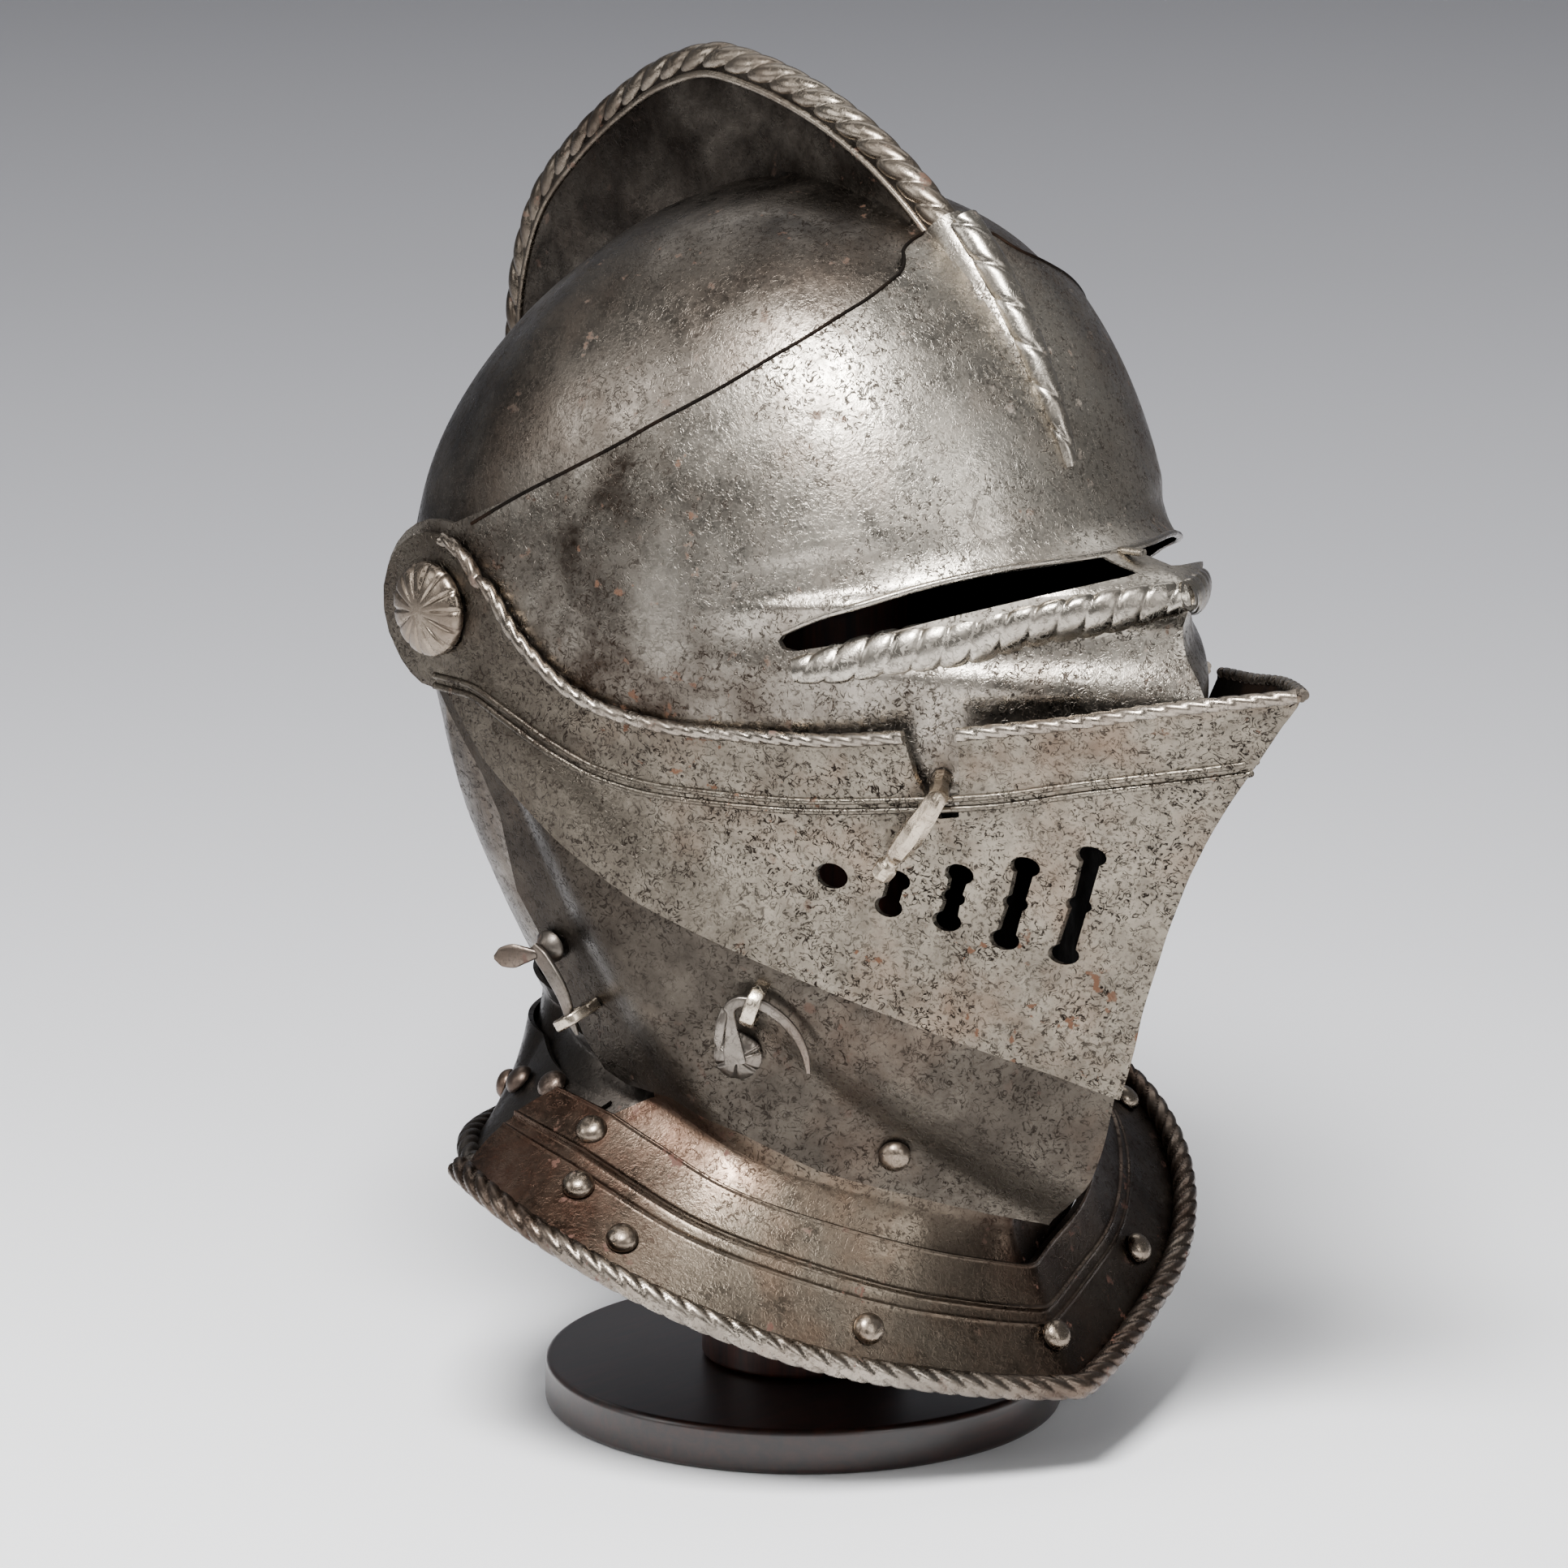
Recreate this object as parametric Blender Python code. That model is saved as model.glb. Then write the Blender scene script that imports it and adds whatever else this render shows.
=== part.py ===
"""Close helmet with a roped comb, shown on its plain turned wooden stand.

The visor, upper bevor and lower bevor are nested sheets that all turn on one
axis at the temples. Every sheet is therefore drawn from that axis: a form table
gives, for each angle around it, how far the sheet reaches in the middle plane
and how its side curves in towards that edge.
"""
import math

import bmesh
import bpy
from mathutils import Vector

for old in list(bpy.data.objects):
    bpy.data.objects.remove(old, do_unlink=True)

# Driving sizes, in metres
CREST_REACH = 0.141      # temple axis to the top of the skull's comb
HALF_WIDTH = 0.090       # middle plane to the skull's side at the temple
PIVOT_FORWARD = -0.040   # temple axis, ahead of the stand's centre
PIVOT_HEIGHT = 0.227     # temple axis, above the table
SHEET = 0.0014           # thickness of the plates
SLIP = 0.0008            # room between two plates that turn on each other
FIT = 0.0003             # room between two pieces that are fixed together
RIVET_RADIUS = 0.0042
RIVET_RISE = 0.0034      # how far a rivet's dome stands out
BOSS_RADIUS = 0.0125     # temple boss
BOSS_RISE = 0.006
EDGE_BEAD = 0.0036       # radius of the rolled edge round the collar
ROPE_RADIUS = 0.0048     # radius of the roped crest
SIGHT_BRIDGE = 0.0062    # middle plane to the inner end of a sight
BREATH_BRIDGE = 0.004    # middle plane to the inner end of a breath
PEG_RADIUS = 0.003       # lifting peg's stem
STAPLE_RADIUS = 0.0012   # wire of the latches' staples
DISC_RADIUS = 0.070
DISC_HEIGHT = 0.0125
POST_RADIUS = 0.0275
SOFT_EDGE = 0.0015       # rounding of the stand's edges

UNIT = CREST_REACH / 141
STEP = SHEET + SLIP
AXIS = Vector((0.0, -PIVOT_FORWARD, PIVOT_HEIGHT))

# Form tables: angle above straight ahead, reach in units, rise, spread
SKULL_FORM = (
    (-90, 188, 1.6, 1.0), (-75, 250, 1.75, 1.0), (-55, 225, 1.8, 1.1),
    (-35, 185, 1.9, 1.3), (0, 141, 2.0, 1.7), (15, 140.5, 2.1, 2.0),
    (30, 138, 2.2, 2.2), (45, 133, 2.2, 2.2), (60, 122, 2.2, 2.2),
    (79, 106, 2.2, 2.1), (95, 90, 2.1, 2.0), (114, 77, 2.0, 2.0),
    (130, 69, 2.0, 2.0), (150, 61, 2.0, 2.0), (180, 56, 2.0, 2.0),
    (200, 56, 2.0, 2.0), (215, 58, 2.0, 2.0), (230, 64, 2.0, 2.0),
    (242, 75, 2.0, 2.0), (250, 88, 2.0, 2.0), (255.5, 104, 2.0, 1.8),
    (260, 135, 1.8, 1.4), (270, 188, 1.6, 1.0),
)
LOWER_BEVOR_FORM = (
    (-90, 280, 1.8, 1.0), (-75, 285, 1.82, 1.0), (-66, 290, 1.84, 1.0),
    (-57, 228, 2.6, 1.0), (-50, 206, 2.6, 1.0), (-46, 206, 2.5, 1.0),
    (-43, 203, 2.4, 1.0), (-38, 195.2, 2.2, 1.0), (-34, 191, 2.2, 1.0),
    (-30, 187, 2.2, 1.0), (-26, 185, 2.2, 1.0), (-20, 184, 2.2, 1.0),
    (0, 182, 2.2, 1.2), (90, 150, 2.2, 2.0), (180, 150, 2.0, 2.0),
    (240, 220, 1.8, 1.2), (270, 280, 1.7, 1.0),
)
VISOR_FORM = (
    (-90, 200, 2.4, 1.0), (-60, 196, 2.4, 1.0), (-38, 184.5, 2.2, 1.0),
    (-30, 183, 2.2, 1.0), (-14, 183, 2.2, 1.0),
    (-8, 184, 2.2, 1.0), (-4, 184, 2.2, 1.05), (-2, 181, 2.2, 1.1),
    (0, 176.5, 2.2, 1.1), (2, 175.5, 2.2, 1.1), (4, 177.5, 2.2, 1.15),
    (6, 176.5, 2.2, 1.25), (7, 170, 2.2, 1.35), (8, 160, 2.2, 1.5),
    (10, 150, 2.2, 1.8), (12, 145.5, 2.2, 2.0), (15, 143.2, 2.2, 2.2),
    (18, 142.7, 2.2, 2.2), (30, 140.2, 2.2, 2.2), (45, 135.2, 2.2, 2.2),
    (60, 124.2, 2.2, 2.2), (79, 108.2, 2.2, 2.1), (180, 100, 2.2, 2.1),
    (270, 200, 2.4, 1.0),
)
UPPER_BEVOR_FORM = (
    (-90, 225, 2.4, 1.0), (-66, 222, 2.5, 1.0), (-55, 214, 2.6, 1.0),
    (-50, 208.5, 2.6, 1.0), (-45, 203.5, 2.5, 1.0), (-38, 197, 2.25, 1.0),
    (-34, 193, 2.2, 1.0), (-30, 189, 2.2, 1.0), (-26, 187.3, 2.2, 1.0),
    (-23, 186.6, 2.2, 1.0), (-19, 187.3, 2.2, 1.0), (-15, 190, 2.2, 1.0),
    (-11, 195, 2.2, 1.0), (-7, 202.5, 2.2, 1.0), (-4, 209, 2.2, 1.0),
    (-1, 216, 2.2, 1.0), (10, 218, 2.2, 1.0), (90, 200, 2.2, 1.0),
    (180, 200, 2.2, 1.0), (270, 225, 2.4, 1.0),
)

# Crest tables: angle, reach of the comb's top in units
COMB_CREST = (
    (0, 120), (12, 130), (18, 139), (24, 141), (85, 141), (94, 136), (102, 129),
    (112, 121), (122, 114), (131, 105), (141, 94), (150, 84), (160, 74),
    (172, 62), (180, 56),
)
VISOR_CREST = ((0, 120), (12, 136), (17, 143.4), (24, 144), (80, 144), (100, 120))


def smooth_read(table, at, column):
    """Read one column of a table with a curve that never overshoots."""
    if at <= table[0][0]:
        return table[0][column]
    if at >= table[-1][0]:
        return table[-1][column]
    step = 0
    while table[step + 1][0] < at:
        step += 1

    def slope(index):
        return ((table[index + 1][column] - table[index][column])
                / (table[index + 1][0] - table[index][0]))

    def tangent(index):
        if index == 0:
            return slope(0)
        if index == len(table) - 1:
            return slope(index - 1)
        before = slope(index - 1)
        after = slope(index)
        if before * after <= 0:
            return 0.0
        return 2 * before * after / (before + after)

    width = table[step + 1][0] - table[step][0]
    t = (at - table[step][0]) / width
    start = table[step][column]
    end = table[step + 1][column]
    return ((2 * t ** 3 - 3 * t ** 2 + 1) * start
            + (t ** 3 - 2 * t ** 2 + t) * width * tangent(step)
            + (3 * t ** 2 - 2 * t ** 3) * end
            + (t ** 3 - t ** 2) * width * tangent(step + 1))


class Form:
    """A sheet's outer surface, drawn around the temple axis."""

    def __init__(self, table, layer, crest=None, comb_half=0.0, rope=0.0):
        self.table = table
        self.half_width = HALF_WIDTH + layer * STEP
        self.crest = crest
        self.comb_half = comb_half
        self.rope = rope

    def bowl(self, angle, inset=0.0):
        reach = smooth_read(self.table, angle, 1) * UNIT - inset
        rise = smooth_read(self.table, angle, 2)
        spread = smooth_read(self.table, angle, 3)
        return reach, rise, spread

    def top(self, angle, inset=0.0):
        """Reach of the outline in the middle plane, comb included."""
        reach = self.bowl(angle, inset)[0]
        if self.crest is None or not 0 <= angle <= 180:
            return reach
        return max(reach, smooth_read(self.crest, angle, 1) * UNIT - inset)

    def width_at(self, angle, distance, inset=0.0):
        """Distance from the middle plane to the surface."""
        angle = (angle + 90) % 360 - 90
        reach, rise, spread = self.bowl(angle, inset)
        share = max(0.0, 1 - (distance / reach) ** rise)
        bowl = (self.half_width - inset) * share ** (1 / spread)
        top = self.top(angle, inset)
        if top <= reach + 1e-6:
            return bowl
        depth = max(0.0, top - distance)
        comb = self.comb_half - inset
        if self.rope and not inset and depth < 2 * self.rope:
            bulge = math.sqrt(max(0.0, self.rope ** 2 - (depth - self.rope) ** 2))
            comb = max(comb if depth > self.rope else 0.0, bulge)
        elif depth < comb:
            comb = math.sqrt(max(0.0, comb ** 2 - (comb - depth) ** 2))
        rising = min(1.0, (top - reach) / (4 * UNIT))
        comb *= rising
        return (bowl ** 3 + comb ** 3) ** (1 / 3)

    def distances(self, angle, inset, bowl_rows):
        """Where the surface's rows of points lie along one spoke."""
        reach, rise, _ = self.bowl(angle, inset)
        rows = []
        last = math.asin(0.985 ** (rise / 2)) if self.crest else math.pi / 2
        for row in range(1, bowl_rows + 1):
            rows.append(reach * math.sin(last * row / bowl_rows) ** (2 / rise))
        if self.crest:
            top = self.top(angle, inset)
            span = top - rows[-1]
            rope = self.rope or self.comb_half
            for share, depth in ((0.62, 1.0), (0.42, 1.95 * rope), (0.28, rope),
                                 (0.12, 0.25 * rope), (0.0, 0.0)):
                rows.append(top - min(share * span, depth))
        return rows


SKULL = Form(SKULL_FORM, 0, COMB_CREST, 0.0036, ROPE_RADIUS)
LOWER_BEVOR = Form(LOWER_BEVOR_FORM, 1)
VISOR = Form(VISOR_FORM, 2, VISOR_CREST, ROPE_RADIUS + STEP)
UPPER_BEVOR = Form(UPPER_BEVOR_FORM, 3)


def place(angle, distance, width):
    """World point from an angle and distance around the temple axis."""
    turn = math.radians(angle)
    return Vector((width, AXIS.y - distance * math.cos(turn),
                   AXIS.z + distance * math.sin(turn)))


def around(forward, height):
    """Angle and distance around the temple axis of a side-view point."""
    ahead = forward - PIVOT_FORWARD
    up = height - PIVOT_HEIGHT
    return math.degrees(math.atan2(up, ahead)), math.hypot(ahead, up)


def surface_point(form, forward, height, lift=0.0, side=-1):
    """Point and outward direction on a sheet, for small fittings."""
    angle, distance = around(forward, height)
    nudge = 2 * SHEET
    base = Vector((side * form.width_at(angle, distance), -forward, height))
    ahead_angle, ahead_distance = around(forward + nudge, height)
    ahead = Vector((side * form.width_at(ahead_angle, ahead_distance), -forward - nudge, height))
    up_angle, up_distance = around(forward, height + nudge)
    up = Vector((side * form.width_at(up_angle, up_distance), -forward, height + nudge))
    normal = (ahead - base).cross(up - base).normalized()
    if normal.x * side < 0:
        normal = -normal
    return base + normal * lift, normal


# Materials
def material(name, colour, metallic, roughness):
    made = bpy.data.materials.new(name)
    made.use_nodes = True
    shader = made.node_tree.nodes["Principled BSDF"]
    shader.inputs["Base Color"].default_value = (*colour, 1.0)
    shader.inputs["Metallic"].default_value = metallic
    shader.inputs["Roughness"].default_value = roughness
    return made


STEEL = material("aged_steel", (0.30, 0.29, 0.27), 1.0, 0.42)
DARK_STEEL = material("darkened_steel", (0.13, 0.12, 0.11), 1.0, 0.5)
WOOD = material("dark_wood", (0.10, 0.045, 0.03), 0.0, 0.55)


# Mesh helpers
def add_object(name, vertices, faces, surface, origin=AXIS):
    mesh = bpy.data.meshes.new(name)
    mesh.from_pydata([Vector(v) - origin for v in vertices], [], faces)
    work = bmesh.new()
    work.from_mesh(mesh)
    bmesh.ops.remove_doubles(work, verts=work.verts, dist=1e-6)
    bmesh.ops.recalc_face_normals(work, faces=work.faces)
    work.to_mesh(mesh)
    work.free()
    mesh.materials.append(surface)
    thing = bpy.data.objects.new(name, mesh)
    thing.location = origin
    bpy.context.collection.objects.link(thing)
    return thing


def as_cutter(thing):
    thing.hide_render = True
    thing.display_type = "WIRE"
    return thing


def cut(target, cutter, operation):
    step = target.modifiers.new(cutter.name, "BOOLEAN")
    step.operation = operation
    step.solver = "EXACT"
    step.object = cutter


def lens(name, form, spokes, inset, bowl_rows, surface=STEEL):
    """Closed body bounded by a form's surface on both sides."""
    vertices = [Vector((-(form.half_width - inset), AXIS.y, AXIS.z)),
                Vector((form.half_width - inset, AXIS.y, AXIS.z))]
    faces = []
    rings = []
    for angle in spokes:
        rows = form.distances(angle, inset, bowl_rows)
        ring = []
        for index, distance in enumerate(rows):
            last = index == len(rows) - 1
            width = 0.0 if last else form.width_at(angle, distance, inset)
            right = len(vertices)
            vertices.append(place(angle, distance, -width))
            left = right
            if not last:
                left = len(vertices)
                vertices.append(place(angle, distance, width))
            ring.append((right, left))
        rings.append(ring)
    for index, ring in enumerate(rings):
        after = rings[(index + 1) % len(rings)]
        for side in (0, 1):
            faces.append((side, ring[0][side], after[0][side]))
            for row in range(len(ring) - 1):
                faces.append((ring[row][side], ring[row + 1][side],
                              after[row + 1][side], after[row][side]))
    return add_object(name, vertices, faces, surface)


BEYOND = 1.44 * HALF_WIDTH   # outside every plate's side


def outline_block(name, outline, inner=-BEYOND, outer=BEYOND):
    """Side-view outline drawn straight through from right to left."""
    count = len(outline)
    vertices = [Vector((inner, -f, z)) for f, z in outline]
    vertices += [Vector((outer, -f, z)) for f, z in outline]
    faces = [tuple(range(count)), tuple(range(2 * count - 1, count - 1, -1))]
    for index in range(count):
        after = (index + 1) % count
        faces.append((index, after, count + after, count + index))
    return as_cutter(add_object(name, vertices, faces, STEEL, Vector((0, 0, 0))))


def arc(distance, start, end, steps=9):
    """Round end of a plate about the temple axis, in units and degrees."""
    points = []
    for index in range(steps):
        turn = math.radians(start + (end - start) * index / (steps - 1))
        points.append((-40 + distance * math.cos(turn), 227 + distance * math.sin(turn)))
    return points


def side_view(points):
    """Scale outline points in units, given with the nominal axis position."""
    return [(PIVOT_FORWARD + (f + 40) * UNIT, PIVOT_HEIGHT + (z - 227) * UNIT)
            for f, z in points]


def spokes(*spans):
    """Angles round the axis from spans of start, end and step."""
    angles = []
    for start, end, step in spans:
        angle = start
        while angle < end - 1e-6:
            angles.append(angle)
            angle += step
    return angles


# Side-view outlines of the plates: forward, height, in units
SKULL_OUTLINE = [
    (108, 272), (72, 262), (42, 247), (26, 232), (20, 212), (17, 190), (13, 160),
    (9, 135), (8, 107), (-60, 111), (-130, 111), (-200, 250), (-40, 400),
    (120, 400), (150, 300),
]
VISOR_OUTLINE = arc(23, 80, 250) + [
    (-20, 203), (40, 194), (90, 178), (150, 156), (230, 150), (230, 240),
    (140, 330), (68, 346), (52.4, 322.7), (52.8, 307.7), (24.4, 287), (-11, 264),
]
UPPER_BEVOR_OUTLINE = arc(20, 28, 279) + [
    (-22.8, 189.2), (1.2, 170.5), (22.6, 157), (42.1, 147.4), (59.6, 138.3),
    (75.7, 129.5), (90.7, 120.9), (104.8, 113), (114, 106.6), (130, 96),
    (230, 90), (230, 229), (174.9, 222.5), (151.8, 218.8), (125.9, 213.1),
    (104.3, 209.2), (98.3, 185.5), (94, 184.8), (91.5, 196), (92, 207.7),
    (70.1, 205.1), (39.5, 204.8), (19.7, 206.9), (5.7, 211.7), (-9, 222.8),
]
LOWER_BEVOR_OUTLINE = arc(16, 60, 210) + [
    (-42, 200), (-30, 183), (-25, 172.5), (-22.8, 152), (-17.5, 142.2),
    (-7.7, 113), (-3, 105), (4, 102), (20, 101), (38.4, 94.5), (53.6, 84),
    (81.6, 70.4), (96, 65), (130, 60), (150, 100), (121, 118), (105, 126),
    (91, 134), (76, 143), (58, 153), (40, 166), (-8, 196),
]
SIGHT_OUTLINE = [
    (60.8, 230.5), (77.9, 238.9), (91.9, 245.1), (103.9, 248.6), (116.5, 250.2),
    (125.5, 247.6), (109.9, 242.2), (94.1, 236.9), (76, 230.2), (64, 227.4),
]
# Breaths: slot ends as forward, height, with the slot's half width, in units
BREATHS = (
    (68.2, 167.6, 69.0, 166.2, 3.2), (82.0, 167.1, 79.2, 159.7, 1.7),
    (95.2, 169.4, 90.6, 156.2, 1.7), (108.7, 171.9, 101.1, 151.3, 1.7),
    (122.0, 175.2, 111.6, 147.3, 1.7),
)


def plate(name, form, outline, spans, bowl_rows, surface=STEEL):
    """Hollow sheet: outer form, less inner form, kept inside an outline."""
    angles = spokes(*spans)
    body = lens(name, form, angles, 0.0, bowl_rows, surface)
    hollow = as_cutter(lens(name + "_hollow", form, angles, SHEET, bowl_rows))
    cut(body, hollow, "DIFFERENCE")
    cut(body, outline_block(name + "_outline", side_view(outline)), "INTERSECT")
    return body


# Skull: the bowl with its tall hollow comb
skull = plate("skull", SKULL, SKULL_OUTLINE,
              ((-90, 14, 26), (14, 46, 8), (46, 130, 7), (130, 214, 9.3),
               (214, 270, 8)), 7)

# Visor: brow, comb sheath and nose ridge, with both sights cut through
visor = plate("visor", VISOR, VISOR_OUTLINE,
              ((-90, -36, 18), (-36, -6, 6), (-6, 16, 2.2), (16, 80, 8),
               (80, 270, 38)), 8)
for side, label in ((-1, "right"), (1, "left")):
    near = side * SIGHT_BRIDGE
    far = side * BEYOND
    cut(visor, outline_block("sight_" + label, side_view(SIGHT_OUTLINE),
                             min(near, far), max(near, far)), "DIFFERENCE")


# Upper bevor: the prow, with five breaths and the peg's notch
def slot_outline(forward, height, end_forward, end_height, half):
    """Rounded slot, wider at both ends as if drilled there."""
    run = math.hypot(end_forward - forward, end_height - height)
    if run < 2 * half:
        return [(forward + half * 1.1 * math.cos(math.radians(a)),
                 height + half * 1.1 * math.sin(math.radians(a)))
                for a in range(0, 360, 45)]
    along = ((end_forward - forward) / run, (end_height - height) / run)
    across = (-along[1], along[0])
    bulb = half * 1.7
    shape = []
    for base, sign in (((end_forward, end_height), 1), ((forward, height), -1)):
        for degrees in (-120, -60, 0, 60, 120):
            turn = math.radians(degrees)
            ahead = sign * bulb * math.cos(turn)
            sideways = sign * bulb * math.sin(turn)
            shape.append((base[0] + along[0] * ahead + across[0] * sideways,
                          base[1] + along[1] * ahead + across[1] * sideways))
    return shape


upper_bevor = plate("upper_bevor", UPPER_BEVOR, UPPER_BEVOR_OUTLINE,
                    ((-90, -66, 12), (-66, 2, 5.2), (2, 30, 14), (30, 270, 40)), 8)
for side, label in ((-1, "right"), (1, "left")):
    near = side * BREATH_BRIDGE
    far = side * BEYOND
    for index, breath in enumerate(BREATHS):
        hole = outline_block("breath_%s_%d" % (label, index + 1),
                             side_view(slot_outline(*breath)),
                             min(near, far), max(near, far))
        cut(upper_bevor, hole, "DIFFERENCE")

# Lower bevor: the chin plate that carries the front of the collar
lower_bevor = plate("lower_bevor", LOWER_BEVOR, LOWER_BEVOR_OUTLINE,
                    ((-90, -78, 6), (-78, -20, 5), (-20, 30, 16), (30, 270, 40)), 8)


# Collar plates: swept from the neck ring down to the roped rim
NECK_MIDDLE = PIVOT_FORWARD + 44 * UNIT
RIM_MIDDLE = PIVOT_FORWARD + 45.2 * UNIT
RIM_HALF = 102.5 * UNIT
RIM_FRONT = 77 * UNIT
RIM_BACK = 69 * UNIT
RIM_POINT = 10.5 * UNIT      # how far the front tip stands ahead of the oval


def ring_height(forward):
    """Height of the neck ring, which dips towards the throat."""
    slope = 0.46 if forward > NECK_MIDDLE else 0.2
    return PIVOT_HEIGHT - 125 * UNIT - slope * (forward - NECK_MIDDLE)


def ring_reach(form, inset, sign, rise):
    """How far forward or back of its middle the neck ring goes."""
    low, high = 0.21 * CREST_REACH, 0.85 * CREST_REACH
    for _ in range(24):
        middle = (low + high) / 2
        forward = NECK_MIDDLE + sign * middle
        angle, distance = around(forward, ring_height(forward) + rise)
        if form.width_at(angle, distance, inset) > 0.36 * SHEET:
            low = middle
        else:
            high = middle
    return low


class Neck:
    """Neck ring that follows the inside or the outside of a sheet."""

    def __init__(self, form, inset):
        self.form = form
        self.inset = inset
        self.reaches = {}

    def point(self, turn, out, rise=0.0):
        across = math.sin(math.radians(turn))
        ahead = math.cos(math.radians(turn))
        sign = 1 if ahead >= 0 else -1
        if (sign, rise) not in self.reaches:
            self.reaches[sign, rise] = ring_reach(self.form, self.inset, sign, rise)
        reach = self.reaches[sign, rise]
        power = 2 / 2.1 if ahead >= 0 else 1.0
        forward = NECK_MIDDLE + math.copysign(reach * abs(ahead) ** power, ahead)
        height = ring_height(forward) + rise
        angle, distance = around(forward, height)
        width = self.form.width_at(angle, distance, self.inset)
        if abs(across) < 1e-6:
            width = 0.0
        side = Vector((across, -ahead, 0)) * out
        return Vector((math.copysign(width, across), -forward, height)) + side


UNDER_BEVOR = Neck(LOWER_BEVOR, 2 * SHEET + 6 * FIT)
OVER_SKULL = Neck(SKULL, -2.7 * FIT)


def rim_ring(turn, out):
    """Rolled lower edge of the collar."""
    across = math.sin(math.radians(turn))
    ahead = math.cos(math.radians(turn))
    width = (RIM_HALF + out) * abs(across)
    reach = RIM_FRONT if ahead >= 0 else RIM_BACK
    forward = RIM_MIDDLE + (reach + out) * ahead
    if ahead > 0:
        forward += RIM_POINT * max(0.0, 1 - width / (0.5 * RIM_HALF)) ** 1.6
    height = (PIVOT_HEIGHT - 169.2 * UNIT - 0.328 * (forward - PIVOT_FORWARD - 40 * UNIT)
              + 0.203 * width ** 2 / CREST_REACH)
    return Vector((math.copysign(width, across), -forward, height))


def collar_point(neck, turn, drop, outs):
    """Point on the collar. drop is 0 at the neck ring and 1 at the rim."""
    lean = 0.19 * max(0.0, drop)
    rise = round(max(0.0, -drop) * 40 * UNIT, 6)
    if neck is UNDER_BEVOR:
        turn = turn * (1 + lean)
        ring = neck.point(turn, outs[0], rise)
    else:
        turn = 180 + (turn - 180) * (1 - lean)
        ring = neck.point(turn, outs[0], rise)
    if drop <= 0:
        return ring
    rim = rim_ring(turn, outs[1])
    flat = drop ** 1.45
    return Vector((ring.x + (rim.x - ring.x) * flat, ring.y + (rim.y - ring.y) * flat,
                   ring.z + (rim.z - ring.z) * drop))


def collar_normal(neck, turn, drop, outs):
    gap = 1.5
    across = (collar_point(neck, turn + gap, drop, outs)
              - collar_point(neck, turn - gap, drop, outs))
    down = (collar_point(neck, turn, drop + 0.02, outs)
            - collar_point(neck, turn, drop - 0.02, outs))
    normal = across.cross(down)
    outward = Vector((math.sin(math.radians(turn)), -math.cos(math.radians(turn)), 0.25))
    if normal.dot(outward) < 0:
        normal = -normal
    return normal.normalized()


def collar_plate(name, neck, turns, top, bottom, rows, outs, bead=None, surface=STEEL):
    """One closed band of the collar. bead gives the rim's radius at a turn."""
    vertices = []
    loops = []
    for turn in turns:
        outer = []
        inner = []
        for row in range(rows + 1):
            drop = top + (bottom - top) * row / rows
            point = collar_point(neck, turn, drop, outs)
            normal = collar_normal(neck, turn, drop, outs)
            outer.append(point + normal * SHEET)
            inner.append(point)
        loop = list(outer)
        if bead:
            radius = bead(turn)
            normal = (outer[-1] - inner[-1]).normalized()
            down = (outer[-1] - outer[-2]).normalized()
            centre = inner[-1] + normal * radius + down * radius * 0.6
            for degrees in (150, 108, 66, 24, -18, -60, -90):
                a = math.radians(degrees)
                loop.append(centre + (normal * math.sin(a) + down * math.cos(a)) * radius)
        loop += list(reversed(inner))
        loops.append([len(vertices) + i for i in range(len(loop))])
        vertices += loop
    faces = [tuple(loops[0]), tuple(reversed(loops[-1]))]
    for one, two in zip(loops, loops[1:]):
        for i in range(len(one)):
            j = (i + 1) % len(one)
            faces.append((one[i], one[j], two[j], two[i]))
    return add_object(name, vertices, faces, surface)


def fan(start, end, steps):
    return [start + (end - start) * index / steps for index in range(steps + 1)]


# How far each plate stands out from the collar's base line, at neck and rim
REAR_LAME_OUT = (0.0, 0.0)
REAR_PLATE_OUT = (2.2 * SHEET, 1.6 * SHEET)
FRONT_LAME_OUT = (0.0, 2.1 * SHEET)
FRONT_PLATE_OUT = (2.85 * SHEET, 4.3 * SHEET)

collar_plate("rear_neck_lame", OVER_SKULL, fan(80, 280, 28), -0.14, 0.30, 2, REAR_LAME_OUT)
collar_plate("rear_collar_plate", OVER_SKULL,
             [90, 94, 97.4] + fan(98.6, 261.4, 24) + [262.6, 266, 270], 0.24, 1.0, 3,
             REAR_PLATE_OUT,
             lambda turn: EDGE_BEAD * 0.85 if 98 < turn < 262 else SHEET * 0.55)
collar_plate("front_neck_lame", UNDER_BEVOR, fan(-86, 86, 30), -0.16, 0.34, 3,
             FRONT_LAME_OUT)
collar_plate("front_collar_plate", UNDER_BEVOR, fan(-94, 94, 32), 0.26, 1.0, 3,
             FRONT_PLATE_OUT, lambda turn: EDGE_BEAD)


# Small turned fittings
def turned(name, centre, normal, profile, segments, surface, origin=AXIS):
    """Closed turned body from a profile of radius and height along a direction."""
    normal = normal.normalized()
    side = normal.orthogonal().normalized()
    other = normal.cross(side)
    vertices = [centre + normal * profile[0][1]]
    for radius, height in profile[1:-1]:
        for index in range(segments):
            a = 2 * math.pi * index / segments
            vertices.append(centre + normal * height
                            + (side * math.cos(a) + other * math.sin(a)) * radius)
    vertices.append(centre + normal * profile[-1][1])
    faces = []
    rings = len(profile) - 2
    for index in range(segments):
        after = (index + 1) % segments
        faces.append((0, 1 + after, 1 + index))
        for ring in range(rings - 1):
            a = 1 + ring * segments
            b = a + segments
            faces.append((a + index, a + after, b + after, b + index))
        base = 1 + (rings - 1) * segments
        faces.append((base + index, base + after, len(vertices) - 1))
    return add_object(name, vertices, faces, surface, origin)


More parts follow.
